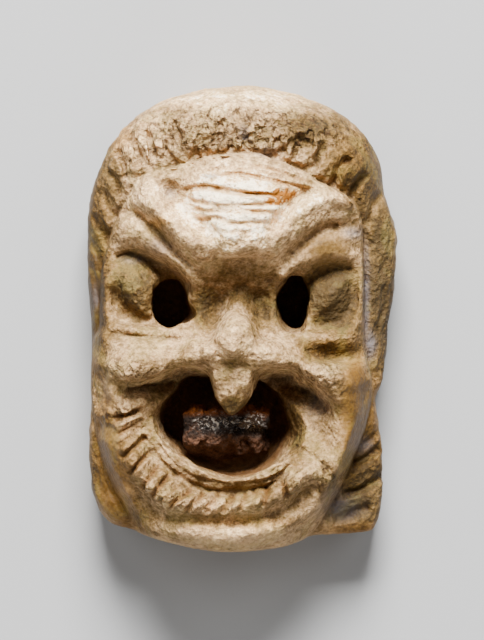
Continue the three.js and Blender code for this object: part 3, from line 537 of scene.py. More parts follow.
# The stone as a solid: below the carving, inside the outline, over the flat back, without its cavities.
# Its field is a rough distance in millimetres, below 0 in the stone.
def clouds(grid, scale, seed):
    """A smooth random field of unit spread over a grid, with features as large as scale."""
    weights = [spline_weights(line, scale) for line in grid]
    lattice = np.random.default_rng(seed).standard_normal([w.shape[1] for w in weights])
    field = lattice.astype(np.float32)
    for axis, w in enumerate(weights):
        field = np.moveaxis(np.tensordot(w, field, (1, axis)), 0, axis)
    return field / field.std()


def skin(field, grid):
    """The surface where a field crosses 0, as points and four-sided faces that look outwards."""
    inside = field < 0
    cells = [n - 1 for n in field.shape]
    corners = [(a, b, c) for a in (0, 1) for b in (0, 1) for c in (0, 1)]
    hits = np.zeros(cells, np.int8)
    for a, b, c in corners:
        hits += inside[a:a + cells[0], b:b + cells[1], c:c + cells[2]]
    i, j, k = np.nonzero((hits > 0) & (hits < 8))
    index = np.full(cells, -1, np.int32)
    index[i, j, k] = np.arange(len(i))
    total = np.zeros((len(i), 3))
    crossings = np.zeros(len(i))
    for start in corners:
        for axis in range(3):
            if start[axis]:
                continue
            end = [start[n] + (n == axis) for n in range(3)]
            a = field[i + start[0], j + start[1], k + start[2]]
            b = field[i + end[0], j + end[1], k + end[2]]
            crossed = (a < 0) != (b < 0)
            share = np.where(crossed, a / np.where(crossed, a - b, 1), 0)
            for n in range(3):
                total[:, n] += crossed * (start[n] + share * (n == axis))
            crossings += crossed
    spots = np.stack([i, j, k], 1) + total / crossings[:, None]
    points = np.stack([np.interp(spots[:, n], np.arange(len(grid[n])), grid[n]) for n in range(3)], 1)
    quads = []
    for axis in range(3):
        u, v = (axis + 1) % 3, (axis + 2) % 3
        low = [slice(1, -1)] * 3
        high = [slice(1, -1)] * 3
        low[axis], high[axis] = slice(0, -1), slice(1, None)
        here, there = inside[tuple(low)], inside[tuple(high)]
        spot = np.stack(np.nonzero(here != there), 1)
        leaving = here[tuple(spot.T)]
        spot[:, u] += 1
        spot[:, v] += 1
        ring = []
        for du, dv in ((1, 1), (0, 1), (0, 0), (1, 0)):
            cell = spot.copy()
            cell[:, u] -= du
            cell[:, v] -= dv
            ring.append(index[tuple(cell.T)])
        quad = np.stack(ring, 1)
        quad[~leaving] = quad[~leaving][:, ::-1]
        quads.append(quad)
    return points, np.concatenate(quads)


def mesh_object(name, points, faces):
    """An object made of points in metres and faces of three or four corners each."""
    mesh = bpy.data.meshes.new(name)
    count, sides = faces.shape
    mesh.vertices.add(len(points))
    mesh.vertices.foreach_set("co", points.astype(np.float32).ravel())
    mesh.loops.add(count * sides)
    mesh.loops.foreach_set("vertex_index", faces.astype(np.int32).ravel())
    mesh.polygons.add(count)
    mesh.polygons.foreach_set("loop_start", np.arange(0, count * sides, sides, dtype=np.int32))
    mesh.update(calc_edges=True)
    made = bpy.data.objects.new(name, mesh)
    bpy.context.collection.objects.link(made)
    return made


def largest_body(points, faces):
    """Only the largest connected part of a surface, without stray crumbs."""
    label = np.arange(len(points))
    while True:
        lowest = label[faces].min(1)
        before = label.copy()
        for side in range(faces.shape[1]):
            np.minimum.at(label, faces[:, side], lowest)
        label = label[label]
        if np.array_equal(label, before):
            break
    main = np.bincount(label[faces[:, 0]]).argmax()
    faces = faces[label[faces[:, 0]] == main]
    used = np.unique(faces)
    place = np.full(len(points), -1)
    place[used] = np.arange(len(used))
    return points[used], place[faces]


def thin_out(made, most):
    """Collapses short edges until the mesh has no more than that many triangles."""
    made.data.calc_loop_triangles()
    count = len(made.data.loop_triangles)
    if count > most:
        fewer = made.modifiers.new("fewer", "DECIMATE")
        fewer.ratio = most / count
        fewer.use_collapse_triangulate = True
        evaluated = made.evaluated_get(bpy.context.evaluated_depsgraph_get())
        mesh = bpy.data.meshes.new_from_object(evaluated)
        made.modifiers.clear()
        made.data = mesh
    made.data.shade_smooth()


# Worn tufts of hair: short ridges that fan out over the crown
FAN_CENTRE = 4.0
TUFT_SIZE = 0.5
TUFT_HEIGHT = 0.42
turn_line = np.arange(-2.2, 2.2, 0.008)
reach_line = np.arange(0, 24, 0.12)
tufts = np.tanh(clouds((turn_line * 14, reach_line * 0.5), TUFT_SIZE, 41))
turn = np.searchsorted(turn_line, np.arctan2(X, Y - FAN_CENTRE)).clip(0, len(turn_line) - 1)
reach = np.searchsorted(reach_line, np.hypot(X, Y - FAN_CENTRE)).clip(0, len(reach_line) - 1)
hairy = crown * ease(-face / 0.8) * ease((outline - 0.6) / 2.5)
relief += TUFT_HEIGHT * tufts[turn, reach] * hairy

# The solid: sides that draw in below the shoulder, a sawn back, the mouth and the drilled eyes, each
# given by its middle, half width and half length
SHOULDER = 7.0
BACK_INSET = 0.7
MOUTH_FLOOR = 5.0
MOUTH_TAPER = 0.12
TONGUE_UNDERSIDE = 13.4
TONGUE_ROOT = -8.0
TONGUE_SLOPE = 2.2
EYE_HOLES = ((-7.1, 1.5, 2.15, 2.5), (5.1, 1.4, 1.9, 2.6))
EYE_HOLE_FLOOR = 3.0
SAW_MARK = 0.05
STEEPEST = 3
z_line = np.arange(-3 * PITCH, relief[outline > 0].max() + 1.0, PITCH)
Z = z_line[None, None, :].astype(np.float32)
stone_grid = (x_line, y_line, z_line)
steep = np.hypot(*np.gradient(relief, PITCH))
slope = 1 / np.sqrt(1 + np.minimum(steep, STEEPEST) ** 2)
inset = BACK_INSET * np.clip(1 - Z / SHOULDER, 0, 1)
top_field = ((Z - relief[:, :, None]) * slope[:, :, None]).astype(np.float32)
side_field = (inset - outline[:, :, None]).astype(np.float32)
stone = joined(top_field, side_field, blend=0.7)
sawn = SAW_MARK * np.clip(1 + clouds((x_line * 0.1, y_line), 0.7, 51), 0, 3).astype(np.float32)
stone = joined(stone, sawn[:, :, None] - Z, blend=0.25)


def bored(field, x, y, half_x, half_y, floor):
    """The field with an oval, slightly uneven hole drilled down to a floor."""
    away = np.hypot((X - x) / half_x, (Y - y) / half_y) - 1 + 0.07 * clouds((x_line, y_line), 1.3, 61)
    wall = (away * min(half_x, half_y)).astype(np.float32)[:, :, None]
    hole = joined(wall, floor - Z, blend=1.2)
    return joined(field, -hole, blend=0.9)


leaning = MOUTH_TAPER * (1 + 2 * ease((X - 1) / 4)).astype(np.float32)
narrowing = leaning[:, :, None] * np.clip(TONGUE_UNDERSIDE - Z, 0, None)
mouth_field = (-mouth).astype(np.float32)[:, :, None] + narrowing
mouth_field = joined(mouth_field, MOUTH_FLOOR - Z, blend=1.5)
tongue_under = TONGUE_UNDERSIDE - TONGUE_SLOPE * np.clip(Y - TONGUE_ROOT, 0, 2.6)
tongue_under = tongue_under.astype(np.float32)[:, :, None]
tongue_field = joined((-tongue).astype(np.float32)[:, :, None], tongue_under - Z, blend=0.6)
cavity = np.maximum(mouth_field, -tongue_field)
stone = joined(stone, -cavity, blend=0.3)
for x, y, half_x, half_y in EYE_HOLES:
    stone = bored(stone, x, y, half_x, half_y, EYE_HOLE_FLOOR)


# Weathering: the crown is the roughest, the flanks are rubbed smooth
def patches(spots):
    """A map of soft oval patches: x, y, half width, half height and strength of each."""
    total = np.zeros(X.shape)
    for x, y, half_x, half_y, strength in spots:
        away = ((X - x) / half_x) ** 2 + ((Y - y) / half_y) ** 2
        total = np.maximum(total, strength * np.exp(-away ** 1.5))
    return total


rubbed = patches((
    (11.3, -9.0, 1.8, 6.5, 1.0), (-13.2, -11.5, 1.4, 5.5, 0.9), (-1.0, -22.3, 9.0, 1.2, 0.7),
    (13.9, 15.0, 1.8, 5.0, 0.8), (-14.9, 2.0, 1.1, 9.0, 0.9), (9.5, -19.5, 4.0, 3.0, 0.6),
    (-12.8, -18.0, 2.6, 4.0, 0.9), (8.6, 6.8, 2.8, 2.0, 0.8), (0.0, -17.0, 9.0, 1.2, 0.6),
    (-8.4, 7.2, 2.2, 2.4, 0.6), (9.0, 2.0, 3.0, 4.0, 0.4),
))
pitted = patches((
    (0.0, 18.9, 10.5, 2.6, 1.0), (-9.0, 16.6, 4.0, 2.6, 0.5), (7.5, 17.2, 3.5, 2.8, 0.35),
    (-11.0, -5.0, 4.0, 1.6, 0.6), (8.0, -5.5, 2.5, 1.6, 0.6), (-12.4, -9.4, 2.0, 1.6, 0.9),
    (0.0, 10.0, 5.0, 4.0, 0.35), (-6.0, -17.5, 6.0, 1.6, 0.5), (5.0, -16.5, 3.0, 1.6, 0.6),
    (-11.0, 3.0, 2.2, 2.8, 0.4), (8.4, -15.6, 1.2, 1.6, 0.9),
))

# Dents of four sizes: size, depth where the stone is only worn, depth where it is pitted, and seed
DENTS = (
    (3.0, 0.16, 0.0, 11), (1.5, 0.16, 0.02, 12), (0.8, 0.10, 0.08, 13), (0.45, 0.06, 0.12, 14),
)
CRACK_WIDTH = 0.55
CRACK_DEPTH = 0.18
over_back = ease(Z / 1.5)
worn = (0.5 - 0.42 * rubbed).astype(np.float32)[:, :, None] * over_back
eaten = pitted.astype(np.float32)[:, :, None] * over_back
for size, wear, depth, seed in DENTS:
    stone += (wear * worn + depth * eaten) * clouds(stone_grid, size, seed)
cracks = np.abs(clouds(stone_grid, 0.8, 21)) + 0.5 * np.abs(clouds(stone_grid, 0.4, 22))
stone += CRACK_DEPTH * eaten * np.clip(CRACK_WIDTH - cracks, 0, None)

points, quads = skin(stone, stone_grid)
points, quads = largest_body(points, quads)
mask = mesh_object("carved_mask", points * MM, quads)
thin_out(mask, MOST_TRIANGLES)


def linked(mesh):
    """The two ends of every edge, as index arrays."""
    ends = np.zeros(len(mesh.edges) * 2, np.int32)
    mesh.edges.foreach_get("vertices", ends)
    return ends[0::2], ends[1::2]


def averaged(values, ends, rounds):
    """Values at points, averaged with their neighbours' over and over."""
    a, b = ends
    count = len(values)
    neighbours = np.bincount(a, minlength=count) + np.bincount(b, minlength=count)
    for _ in range(rounds):
        total = np.stack([
            np.bincount(a, values[b, n], count) + np.bincount(b, values[a, n], count)
            for n in range(values.shape[1])
        ], 1)
        values = 0.5 * values + 0.5 * total / neighbours[:, None]
    return values


def vertex_values(mesh, name):
    """The three values of a kind, such as co or normal, for every vertex."""
    values = np.zeros(len(mesh.vertices) * 3)
    mesh.vertices.foreach_get(name, values)
    return values.reshape(-1, 3)


def standing_out(made, rounds):
    """How far each point stands out of the smoothed surface, in millimetres, below 0 in a hollow."""
    points = vertex_values(made.data, "co") / MM
    away = points - averaged(points, linked(made.data), rounds)
    return (away * vertex_values(made.data, "normal")).sum(1)


def keep_values(made, name, values):
    """Stores one number for each point of a mesh, for its material to read."""
    kept = made.data.attributes.new(name, "FLOAT", "POINT")
    kept.data.foreach_set("value", values.astype(np.float32))


def at_points(field, points):
    """A map's values under the given points."""
    u = np.clip((points[:, 0] - x_line[0]) / PITCH, 0, len(x_line) - 1.001)
    v = np.clip((points[:, 1] - y_line[0]) / PITCH, 0, len(y_line) - 1.001)
    i, j = u.astype(int), v.astype(int)
    u, v = u - i, v - j
    left = mix(field[i, j], field[i, j + 1], v)
    return mix(left, mix(field[i + 1, j], field[i + 1, j + 1], v), u)


# What the stone's material reads: how far each point lies below the carving round it, in a crease,
# rubbed or near a rim, and pitted
AROUND = 2.2
RIM_WIDTH = 0.8
vertices = vertex_values(mask.data, "co") / MM
level = np.where(outline > 0, relief, BASE_HEIGHT)
sunk = at_points(softened(level, PITCH, AROUND), vertices) - vertices[:, 2]
within = at_points(outline, vertices)
edge = 0.8 * ease((RIM_WIDTH - within) / RIM_WIDTH)
keep_values(mask, "sunk", sunk * ease(within / 2.5))
keep_values(mask, "crease", standing_out(mask, rounds=12))
keep_values(mask, "waxy", np.maximum(at_points(rubbed, vertices), edge))
keep_values(mask, "pitted", at_points(pitted, vertices))

# How bleached the stone is, from 0, brown, to 1, chalk: the forehead is palest, eyes and hair are darkest.
# Its pale patches are chalky bleaching with painted light added on the forehead, the top rim, the nose tip,
# the cheek tops and the lip's crest, which face the lamp
bleached_and_lit = patches((
    (-0.8, 11.0, 7.0, 4.4, 0.60), (-8.8, 12.4, 2.4, 2.0, 0.30), (8.0, 12.0, 3.0, 1.1, 0.36),
    (-0.8, -2.2, 4.4, 2.4, 0.12), (-11.0, -4.0, 4.2, 1.9, 0.03), (8.8, -5.2, 3.2, 1.4, 0.08),
    (0.0, 22.0, 10.0, 1.6, 0.30), (-9.0, 18.0, 4.0, 3.0, 0.12), (-2.0, 18.6, 4.0, 1.6, 0.10),
    (-1.0, -21.6, 6.0, 1.3, 0.18), (-11.2, -11.0, 1.8, 3.0, 0.10), (-10.6, 9.4, 1.4, 0.7, 0.12),
    (-4.0, -18.6, 5.0, 0.7, 0.20),
))
# Its dark patches are brown stain on the crown, lips and lappets, and painted shade in the eye sockets and
# their inner corners, under the brows, at the root and sides of the nose, under its tip, on the column's
# tip, under the right lower lid, on the mouth's right wall and partly on the hair down both sides
browned_and_shaded = patches((
    (-10.9, 3.2, 2.6, 3.3, 0.48), (-11.0, -3.9, 3.2, 1.4, 0.08), (9.2, 2.2, 3.0, 3.4, 0.68),
    (8.4, 7.3, 2.8, 1.2, 0.30), (6.8, 8.4, 3.4, 1.5, 0.20), (0.0, 4.4, 3.2, 1.6, 0.22),
    (13.9, 3.0, 1.7, 9.5, 0.62), (-14.6, 4.0, 1.4, 10.0, 0.58), (7.4, 18.8, 3.6, 2.2, 0.42),
    (-3.6, 1.0, 1.3, 2.8, 0.42), (2.9, 0.8, 1.3, 2.4, 0.42), (-0.4, -4.3, 2.6, 0.5, 0.25),
    (0.2, 2.2, 2.2, 1.4, 0.28), (1.5, 0.0, 0.9, 2.0, 0.32), (12.2, 14.5, 2.8, 4.2, 0.50),
    (10.4, 16.4, 3.4, 2.6, 0.28), (-13.8, 14.0, 2.0, 4.2, 0.30), (-13.2, -14.0, 1.8, 6.5, 0.30),
    (-11.0, -19.6, 3.0, 2.6, 0.24), (11.5, -9.0, 1.8, 6.4, 0.42), (9.6, -17.0, 2.0, 3.6, 0.26),
    (12.2, -15.5, 2.8, 6.5, 0.48), (-14.8, -16.5, 1.3, 5.5, 0.32), (-3.0, -19.9, 4.8, 0.6, 0.22),
    (5.6, -17.2, 1.8, 1.2, 0.20), (-1.0, -17.0, 8.5, 1.6, 0.21), (-10.6, -13.0, 2.2, 4.0, 0.19),
    (-8.0, -15.3, 2.6, 1.8, 0.18), (10.6, -19.0, 2.2, 1.4, 0.55), (9.0, -3.2, 3.5, 1.3, 0.50),
    (9.6, -0.9, 2.8, 1.0, 0.40), (-7.6, 8.4, 2.6, 1.2, 0.14), (0.0, 18.0, 9.0, 1.4, 0.10),
    (-1.0, -9.0, 2.2, 1.2, 0.50), (-7.0, 12.6, 1.2, 1.4, 0.10), (5.4, -11.5, 1.0, 3.0, 0.40),
))
BARE_TONE = 0.505
tone = BARE_TONE + bleached_and_lit - browned_and_shaded

# Stains: rust at the right end of the wrinkles, slaty patches, and honey-coloured stone that shows through.
# The slaty grey is partly stain and partly painted shade, where it lies in the right corner of the mouth,
# in the wedges of the right lappet and along the fold over the left eye
rust = patches(((4.1, 12.4, 1.2, 0.55, 1.0), (3.4, 11.7, 1.4, 0.5, 0.55), (1.6, 12.5, 1.6, 0.25, 0.5)))
slate_and_shade = patches((
    (-3.2, 14.2, 0.9, 0.3, 1.0), (-7.0, 12.5, 0.9, 0.6, 0.6), (12.4, 2.0, 0.35, 6.0, 0.9),
    (12.8, -2.6, 0.6, 1.4, 1.0), (11.2, 8.6, 1.1, 0.6, 0.9), (10.0, -18.9, 2.0, 1.4, 0.7),
    (12.2, -12.6, 1.0, 0.9, 0.6), (0.2, 18.6, 0.5, 0.9, 0.8), (2.6, 16.5, 1.2, 0.5, 0.7),
    (-8.2, 7.2, 1.2, 0.9, 0.5), (-10.8, 6.0, 1.4, 0.5, 0.5), (-14.7, 2.2, 0.4, 1.2, 0.6),
    (9.2, -17.4, 1.2, 0.8, 0.5), (7.6, -8.6, 1.4, 1.2, 0.5),
))
honey = patches((
    (11.3, -9.0, 1.5, 6.5, 0.8), (-12.6, -17.0, 2.0, 4.5, 0.9), (-14.6, 4.0, 1.4, 10.0, 0.6),
    (12.0, -21.2, 4.0, 0.8, 1.0), (-12.4, -20.6, 2.6, 1.0, 1.0), (11.4, -5.6, 1.2, 1.3, 1.0),
    (-8.2, 9.6, 0.9, 0.6, 0.9), (-12.6, 18.6, 1.6, 2.0, 0.7), (9.2, -3.0, 3.0, 1.0, 0.8),
    (0.0, -20.2, 6.0, 0.7, 0.5), (11.4, 15.5, 2.8, 3.2, 0.6), (8.6, 6.8, 3.0, 1.6, 0.25),
    (-13.8, -13.0, 1.3, 5.0, 0.9), (13.1, -10.0, 1.3, 5.0, 0.7),
))
for name, field in (("tone", tone), ("rust", rust), ("slate_and_shade", slate_and_shade), ("honey", honey), ("scored", scored)):
    keep_values(mask, name, at_points(field, vertices))


def connect(tree, socket, given):
    """Sets a socket to a value, or links an output to it."""
    if isinstance(given, bpy.types.NodeSocket):
        tree.links.new(given, socket)
    else:
        socket.default_value = given


def attribute(tree, name):
    """The numbers kept for each point under a name."""
    node = tree.nodes.new("ShaderNodeAttribute")
    node.attribute_name = name
    return node.outputs["Fac"]


def places(tree):
    """The object's own coordinates, in millimetres."""
    coordinates = tree.nodes.new("ShaderNodeTexCoord")
    scale = tree.nodes.new("ShaderNodeVectorMath")
    scale.operation = "SCALE"
    connect(tree, scale.inputs[0], coordinates.outputs["Object"])
    scale.inputs["Scale"].default_value = 1 / MM
    return scale.outputs[0]


def worn_grain():
    """A shader group for weathered surfaces: fractal grains, and cells like pits, 0 at their middles."""
    group = bpy.data.node_groups.new("worn_grain", "ShaderNodeTree")
    for name in ("Cells per mm", "Detail", "Roughness", "Distortion"):
        group.interface.new_socket(name=name, in_out="INPUT", socket_type="NodeSocketFloat")
    for name in ("Grains", "Pits"):
        group.interface.new_socket(name=name, in_out="OUTPUT", socket_type="NodeSocketFloat")
    given = group.nodes.new("NodeGroupInput")
    result = group.nodes.new("NodeGroupOutput")
    where = places(group)
    grains = group.nodes.new("ShaderNodeTexNoise")
    cells = group.nodes.new("ShaderNodeTexVoronoi")
    for node in (grains, cells):
        group.links.new(where, node.inputs["Vector"])
        group.links.new(given.outputs["Cells per mm"], node.inputs["Scale"])
    for name in ("Detail", "Roughness", "Distortion"):
        group.links.new(given.outputs[name], grains.inputs[name])
    group.links.new(grains.outputs["Fac"], result.inputs["Grains"])
    group.links.new(cells.outputs["Distance"], result.inputs["Pits"])
    return group


WORN_GRAIN = worn_grain()


def grained(tree, size, detail=4.0, roughness=0.6, distortion=0.0, output="Grains"):
    """The weathering group in a material, with patches or pits of a size in millimetres."""
    node = tree.nodes.new("ShaderNodeGroup")
    node.node_tree = WORN_GRAIN
    node.inputs["Cells per mm"].default_value = 1 / size
    node.inputs["Detail"].default_value = detail
    node.inputs["Roughness"].default_value = roughness
    node.inputs["Distortion"].default_value = distortion
    return node.outputs[output]


def ramp(tree, given, low, high, start=0.0, end=1.0):
    """Eases from start to end as a value goes from low to high."""
    node = tree.nodes.new("ShaderNodeMapRange")
    node.interpolation_type = "SMOOTHSTEP"
    connect(tree, node.inputs["Value"], given)
    for name, number in (("From Min", low), ("From Max", high), ("To Min", start), ("To Max", end)):
        node.inputs[name].default_value = number
    return node.outputs["Result"]


def sums(tree, operation, a, b, clamped=False):
    """Two values added or multiplied."""
    node = tree.nodes.new("ShaderNodeMath")
    node.operation = operation
    node.use_clamp = clamped
    connect(tree, node.inputs[0], a)
    connect(tree, node.inputs[1], b)
    return node.outputs[0]


def tinted(tree, share, a, b, blend_type="MIX"):
    """Colour a, changed to colour b by a share. Of the node's many sockets, 6, 7 and 2 are for colours."""
    node = tree.nodes.new("ShaderNodeMix")
    node.data_type = "RGBA"
    node.blend_type = blend_type
    connect(tree, node.inputs[0], share)
    connect(tree, node.inputs[6], a if isinstance(a, bpy.types.NodeSocket) else (*a, 1))
    connect(tree, node.inputs[7], b if isinstance(b, bpy.types.NodeSocket) else (*b, 1))
    return node.outputs[2]


def thinned(tree, given, grain, low, high, least, most=1.0, clamped=False):
    """A value times its least share where a grain is low, and its most share where it is high."""
    return sums(tree, "MULTIPLY", given, ramp(tree, grain, low, high, least, most), clamped)


def bumped(tree, height, distance):
    """A bump of a depth in millimetres."""
    node = tree.nodes.new("ShaderNodeBump")
    node.inputs["Distance"].default_value = distance * MM
    connect(tree, node.inputs["Height"], height)
    return node.outputs["Normal"]


def shades(tree, share, stops):
    """A colour that runs through stops as a share goes from 0 to 1."""
    node = tree.nodes.new("ShaderNodeValToRGB")
    marks = node.color_ramp.elements
    while len(marks) < len(stops):
        marks.new(0.5)
    for mark, (place, colour) in zip(marks, stops):
        mark.position = place
        mark.color = (*colour, 1)
    connect(tree, node.inputs["Fac"], share)
    return node.outputs["Color"]


# Weathered stone: its own honey and cream, bleached chalky on the forehead and cheeks, with painted light
# added there, with brown earth and painted shade in its creases and hollows, earth in its pits, a rust
# stain and slaty patches, some of them painted shade
EARTH_AND_SHADE = (0.050, 0.024, 0.010)
DEEP_HOLLOW_SHADE = (0.16, 0.070, 0.024)
RUST = (0.24, 0.085, 0.010)
SLATE_AND_SHADE = (0.090, 0.083, 0.092)
OLIVE = (0.24, 0.19, 0.05)
HONEY = (1.0, 0.82, 0.46)
SCORED = (0.54, 0.41, 0.26)
TONES = (
    (0.0, (0.056, 0.034, 0.012)), (0.25, (0.135, 0.078, 0.023)), (0.45, (0.225, 0.137, 0.060)),
    (0.70, (0.45, 0.285, 0.138)), (0.88, (0.76, 0.51, 0.26)), (1.0, (1.0, 0.82, 0.57)),
)
STONE_BUMP = 1.3
stone_material = bpy.data.materials.new("weathered_stone")
stone_material.use_nodes = True
tree = stone_material.node_tree
shader = tree.nodes["Principled BSDF"]
blotches = grained(tree, 2.6, 5.0, 0.62, 0.4)
speckle = grained(tree, 0.7, 3.5, 0.68)
flecks = grained(tree, 0.28, 2.0, 0.6)
veins = grained(tree, 5.5, 3.0, 0.5, 1.5)
small_pits = grained(tree, 0.5, output="Pits")
waxy = attribute(tree, "waxy")
sunk = attribute(tree, "sunk")
crease = attribute(tree, "crease")
pitted = attribute(tree, "pitted")

# The tone, mottled by blotches, speckle and flecks that fade where the stone is rubbed, paler on its
# crests, where the paleness is partly chalky wear and partly a painted highlight
mottle = ramp(tree, blotches, 0.3, 0.7, -0.13, 0.13)
mottle = sums(tree, "ADD", mottle, ramp(tree, speckle, 0.36, 0.64, -0.10, 0.10))
mottle = sums(tree, "ADD", mottle, ramp(tree, flecks, 0.36, 0.64, -0.08, 0.08))
mottle = thinned(tree, mottle, waxy, 0.1, 0.9, 1.0, 0.45)
share = sums(tree, "ADD", attribute(tree, "tone"), mottle)
# A painted highlight on crests and ridges, partly chalky wear
share = sums(tree, "ADD", share, ramp(tree, crease, 0.03, 0.2, 0.0, 0.16))
colour = shades(tree, share, TONES)
colour = tinted(tree, ramp(tree, veins, 0.5, 0.62, 0.0, 0.2), colour, OLIVE)

# Earth and painted shade: thin in the scored cuts, dark in creases and low hollows, where the colour is
# partly earth and partly painted shade; earth alone, dark, in pits and flecks
# Painted shade in the scored cuts, deeper cuts darker, with some earth
scored_earth_and_shade = thinned(tree, attribute(tree, "scored"), blotches, 0.3, 0.6, 0.45)
colour = tinted(tree, scored_earth_and_shade, colour, SCORED, "MULTIPLY")
# Painted shade, partly earth: creases and hollows darkened by how far they sink below the carving round
# them
dirt_and_shade = sums(tree, "ADD", ramp(tree, crease, -0.03, -0.18, 0.0, 0.75), ramp(tree, sunk, 2.2, 5.0, 0.0, 0.3))
dirt_and_shade = thinned(tree, dirt_and_shade, grained(tree, 0.9, 5.0, 0.65), 0.35, 0.62, 0.45, clamped=True)
colour = tinted(tree, dirt_and_shade, colour, EARTH_AND_SHADE)
pit_dirt = thinned(tree, ramp(tree, speckle, 0.48, 0.38), pitted, 0.1, 0.8, 0.15, 0.85)
colour = tinted(tree, pit_dirt, colour, EARTH_AND_SHADE)
colour = tinted(tree, ramp(tree, flecks, 0.36, 0.26, 0.0, 0.6), colour, EARTH_AND_SHADE)

# Rust, honey and slate, the slate partly painted shade, then painted shade in the deepest hollows, tinted
# dark brown by depth
stained = thinned(tree, attribute(tree, "rust"), speckle, 0.35, 0.6, 0.25)
colour = tinted(tree, ramp(tree, stained, 0.1, 0.34), colour, RUST)
colour = tinted(tree, attribute(tree, "honey"), colour, HONEY, "MULTIPLY")
# Slaty grey: stains, and painted shade in grooves and corners
slaty_and_shade = thinned(tree, attribute(tree, "slate_and_shade"), blotches, 0.35, 0.6, 0.35, 0.8)
colour = tinted(tree, slaty_and_shade, colour, SLATE_AND_SHADE)
# Painted shade: the deepest hollows, the eye holes and the mouth, tinted dark brown by their depth
colour = tinted(tree, ramp(tree, sunk, 4.0, 7.0, 0.0, 0.8), colour, DEEP_HOLLOW_SHADE)
connect(tree, shader.inputs["Base Color"], colour)
connect(tree, shader.inputs["Roughness"], ramp(tree, waxy, 0.2, 0.9, 0.72, 0.48))
shader.inputs["Specular IOR Level"].default_value = 0.12
shader.inputs["Subsurface Weight"].default_value = 0.15
shader.inputs["Subsurface Radius"].default_value = (1.0, 0.55, 0.2)
shader.inputs["Subsurface Scale"].default_value = 0.8 * MM

# A fine roughness, strongest where the stone is pitted and weakest where it is rubbed
roughness = thinned(tree, grained(tree, 0.9, output="Pits"), pitted, 0.0, 1.0, 0.3, 1.1)
for grain, depth in ((speckle, 0.6), (small_pits, 0.3), (flecks, 0.25)):
    roughness = sums(tree, "ADD", roughness, sums(tree, "MULTIPLY", grain, depth))
roughness = thinned(tree, roughness, pitted, 0.2, 1.0, 0.42)
roughness = thinned(tree, roughness, waxy, 0.1, 0.9, 1.0, 0.35)
connect(tree, shader.inputs["Normal"], bumped(tree, roughness, STONE_BUMP))
mask.data.materials.append(stone_material)
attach(mask, "root")
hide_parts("mask")

# The iron stub.
# The end of a squared bar, rusted fast in the mouth: its top is orange, its crest black and glassy,
# and its front brown and grainy.
IRON_PITCH = 0.085
IRON_TRIANGLES = 60000
IRON_INSET = 0.15
IRON_MARGIN = 0.4
iron_low, iron_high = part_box("iron_stub")
LEFT, BOTTOM, FOOT = (value / MM + IRON_INSET for value in iron_low)
RIGHT, TOP, FRONT = (value / MM - IRON_INSET for value in iron_high)
CREST_Y = TOP - 1.8
iron_grid = [
    np.arange(low - IRON_MARGIN, high + IRON_MARGIN, IRON_PITCH)
    for low, high in ((LEFT, RIGHT), (BOTTOM, TOP), (FOOT, FRONT))
]
U, V, W = (line.astype(np.float32) for line in np.meshgrid(*iron_grid, indexing="ij", sparse=True))

# Its plan is a rounded oblong, and its front falls from the crest to both long sides and both ends
CORNER_ROUNDING = 0.9
TOP_FALL = 1.5
BOTTOM_FALL = 2.2
LEFT_FALL = 0.6
RIGHT_FALL = 0.8
past_x = np.abs(U - (LEFT + RIGHT) / 2) - (RIGHT - LEFT) / 2 + 1.4
past_y = np.abs(V - (BOTTOM + TOP) / 2) - (TOP - BOTTOM) / 2 + 1.25
plan = np.hypot(np.maximum(past_x, 0), np.maximum(past_y, 0)) - CORNER_ROUNDING
crest = FRONT - 0.35 - TOP_FALL * ease((V - CREST_Y) / (TOP - CREST_Y))
crest = crest - BOTTOM_FALL * ease((CREST_Y - 0.9 - V) / 3.2)
crest = crest - RIGHT_FALL * ease((U - RIGHT + 1.6) / 1.6)
crest = crest - LEFT_FALL * ease((LEFT + 1.4 - U) / 1.4)
bar = joined(plan + 0 * W, (W - crest) * 0.8, blend=0.8)
bar = joined(bar, FOOT - W, blend=0.3)
for size, depth, seed in ((2.2, 0.30, 36), (1.0, 0.22, 32), (0.5, 0.14, 33), (0.25, 0.06, 34)):
    bar = bar + depth * clouds(iron_grid, size, seed)

# However deep the corrosion, it stays inside the stub's box
for past in (LEFT - U, U - RIGHT, BOTTOM - V, V - TOP, FOOT - W, W - FRONT):
    bar = np.maximum(bar, past + 0.1)
points, quads = largest_body(*skin(bar, iron_grid))
iron = mesh_object("rusted_iron", points * MM, quads)
thin_out(iron, IRON_TRIANGLES)

# Where it is orange, where brown and grainy, and where its crest is glassy
spots = vertex_values(iron.data, "co") / MM
keep_values(iron, "orange", ease((spots[:, 1] - CREST_Y - 0.3) / 0.8))
keep_values(iron, "grainy", ease((CREST_Y - 1.0 - spots[:, 1]) / 0.9))
middle = ease((spots[:, 0] - LEFT - 0.8) / 1.2) * ease((RIGHT - 0.3 - spots[:, 0]) / 0.8)
keep_values(iron, "glassy", middle * np.exp(-((spots[:, 1] - CREST_Y + 0.1) / 0.8) ** 2))

# Corroded iron: glassy black scale, with brown grains below, orange rust above and pale painted glints on
# its glassy crest
SCALE_BLACK = (0.030, 0.019, 0.014)
GLINT = (0.70, 0.62, 0.53)
RUST_BROWN = (0.14, 0.064, 0.034)
RUST_ORANGE = (0.22, 0.058, 0.007)
iron_material = bpy.data.materials.new("corroded_iron")
iron_material.use_nodes = True
tree = iron_material.node_tree
shader = tree.nodes["Principled BSDF"]
grain = grained(tree, 0.35, 5.0, 0.7)
patch = grained(tree, 1.1, 4.0, 0.6, 0.6)
crystals = grained(tree, 0.38, output="Pits")
grainy = thinned(tree, attribute(tree, "grainy"), patch, 0.3, 0.5, 0.6)
orange = thinned(tree, attribute(tree, "orange"), grain, 0.35, 0.55, 0.35)
grainy = sums(tree, "ADD", grainy, ramp(tree, patch, 0.52, 0.62, 0.0, 0.6), clamped=True)
colour = tinted(tree, grainy, SCALE_BLACK, RUST_BROWN)
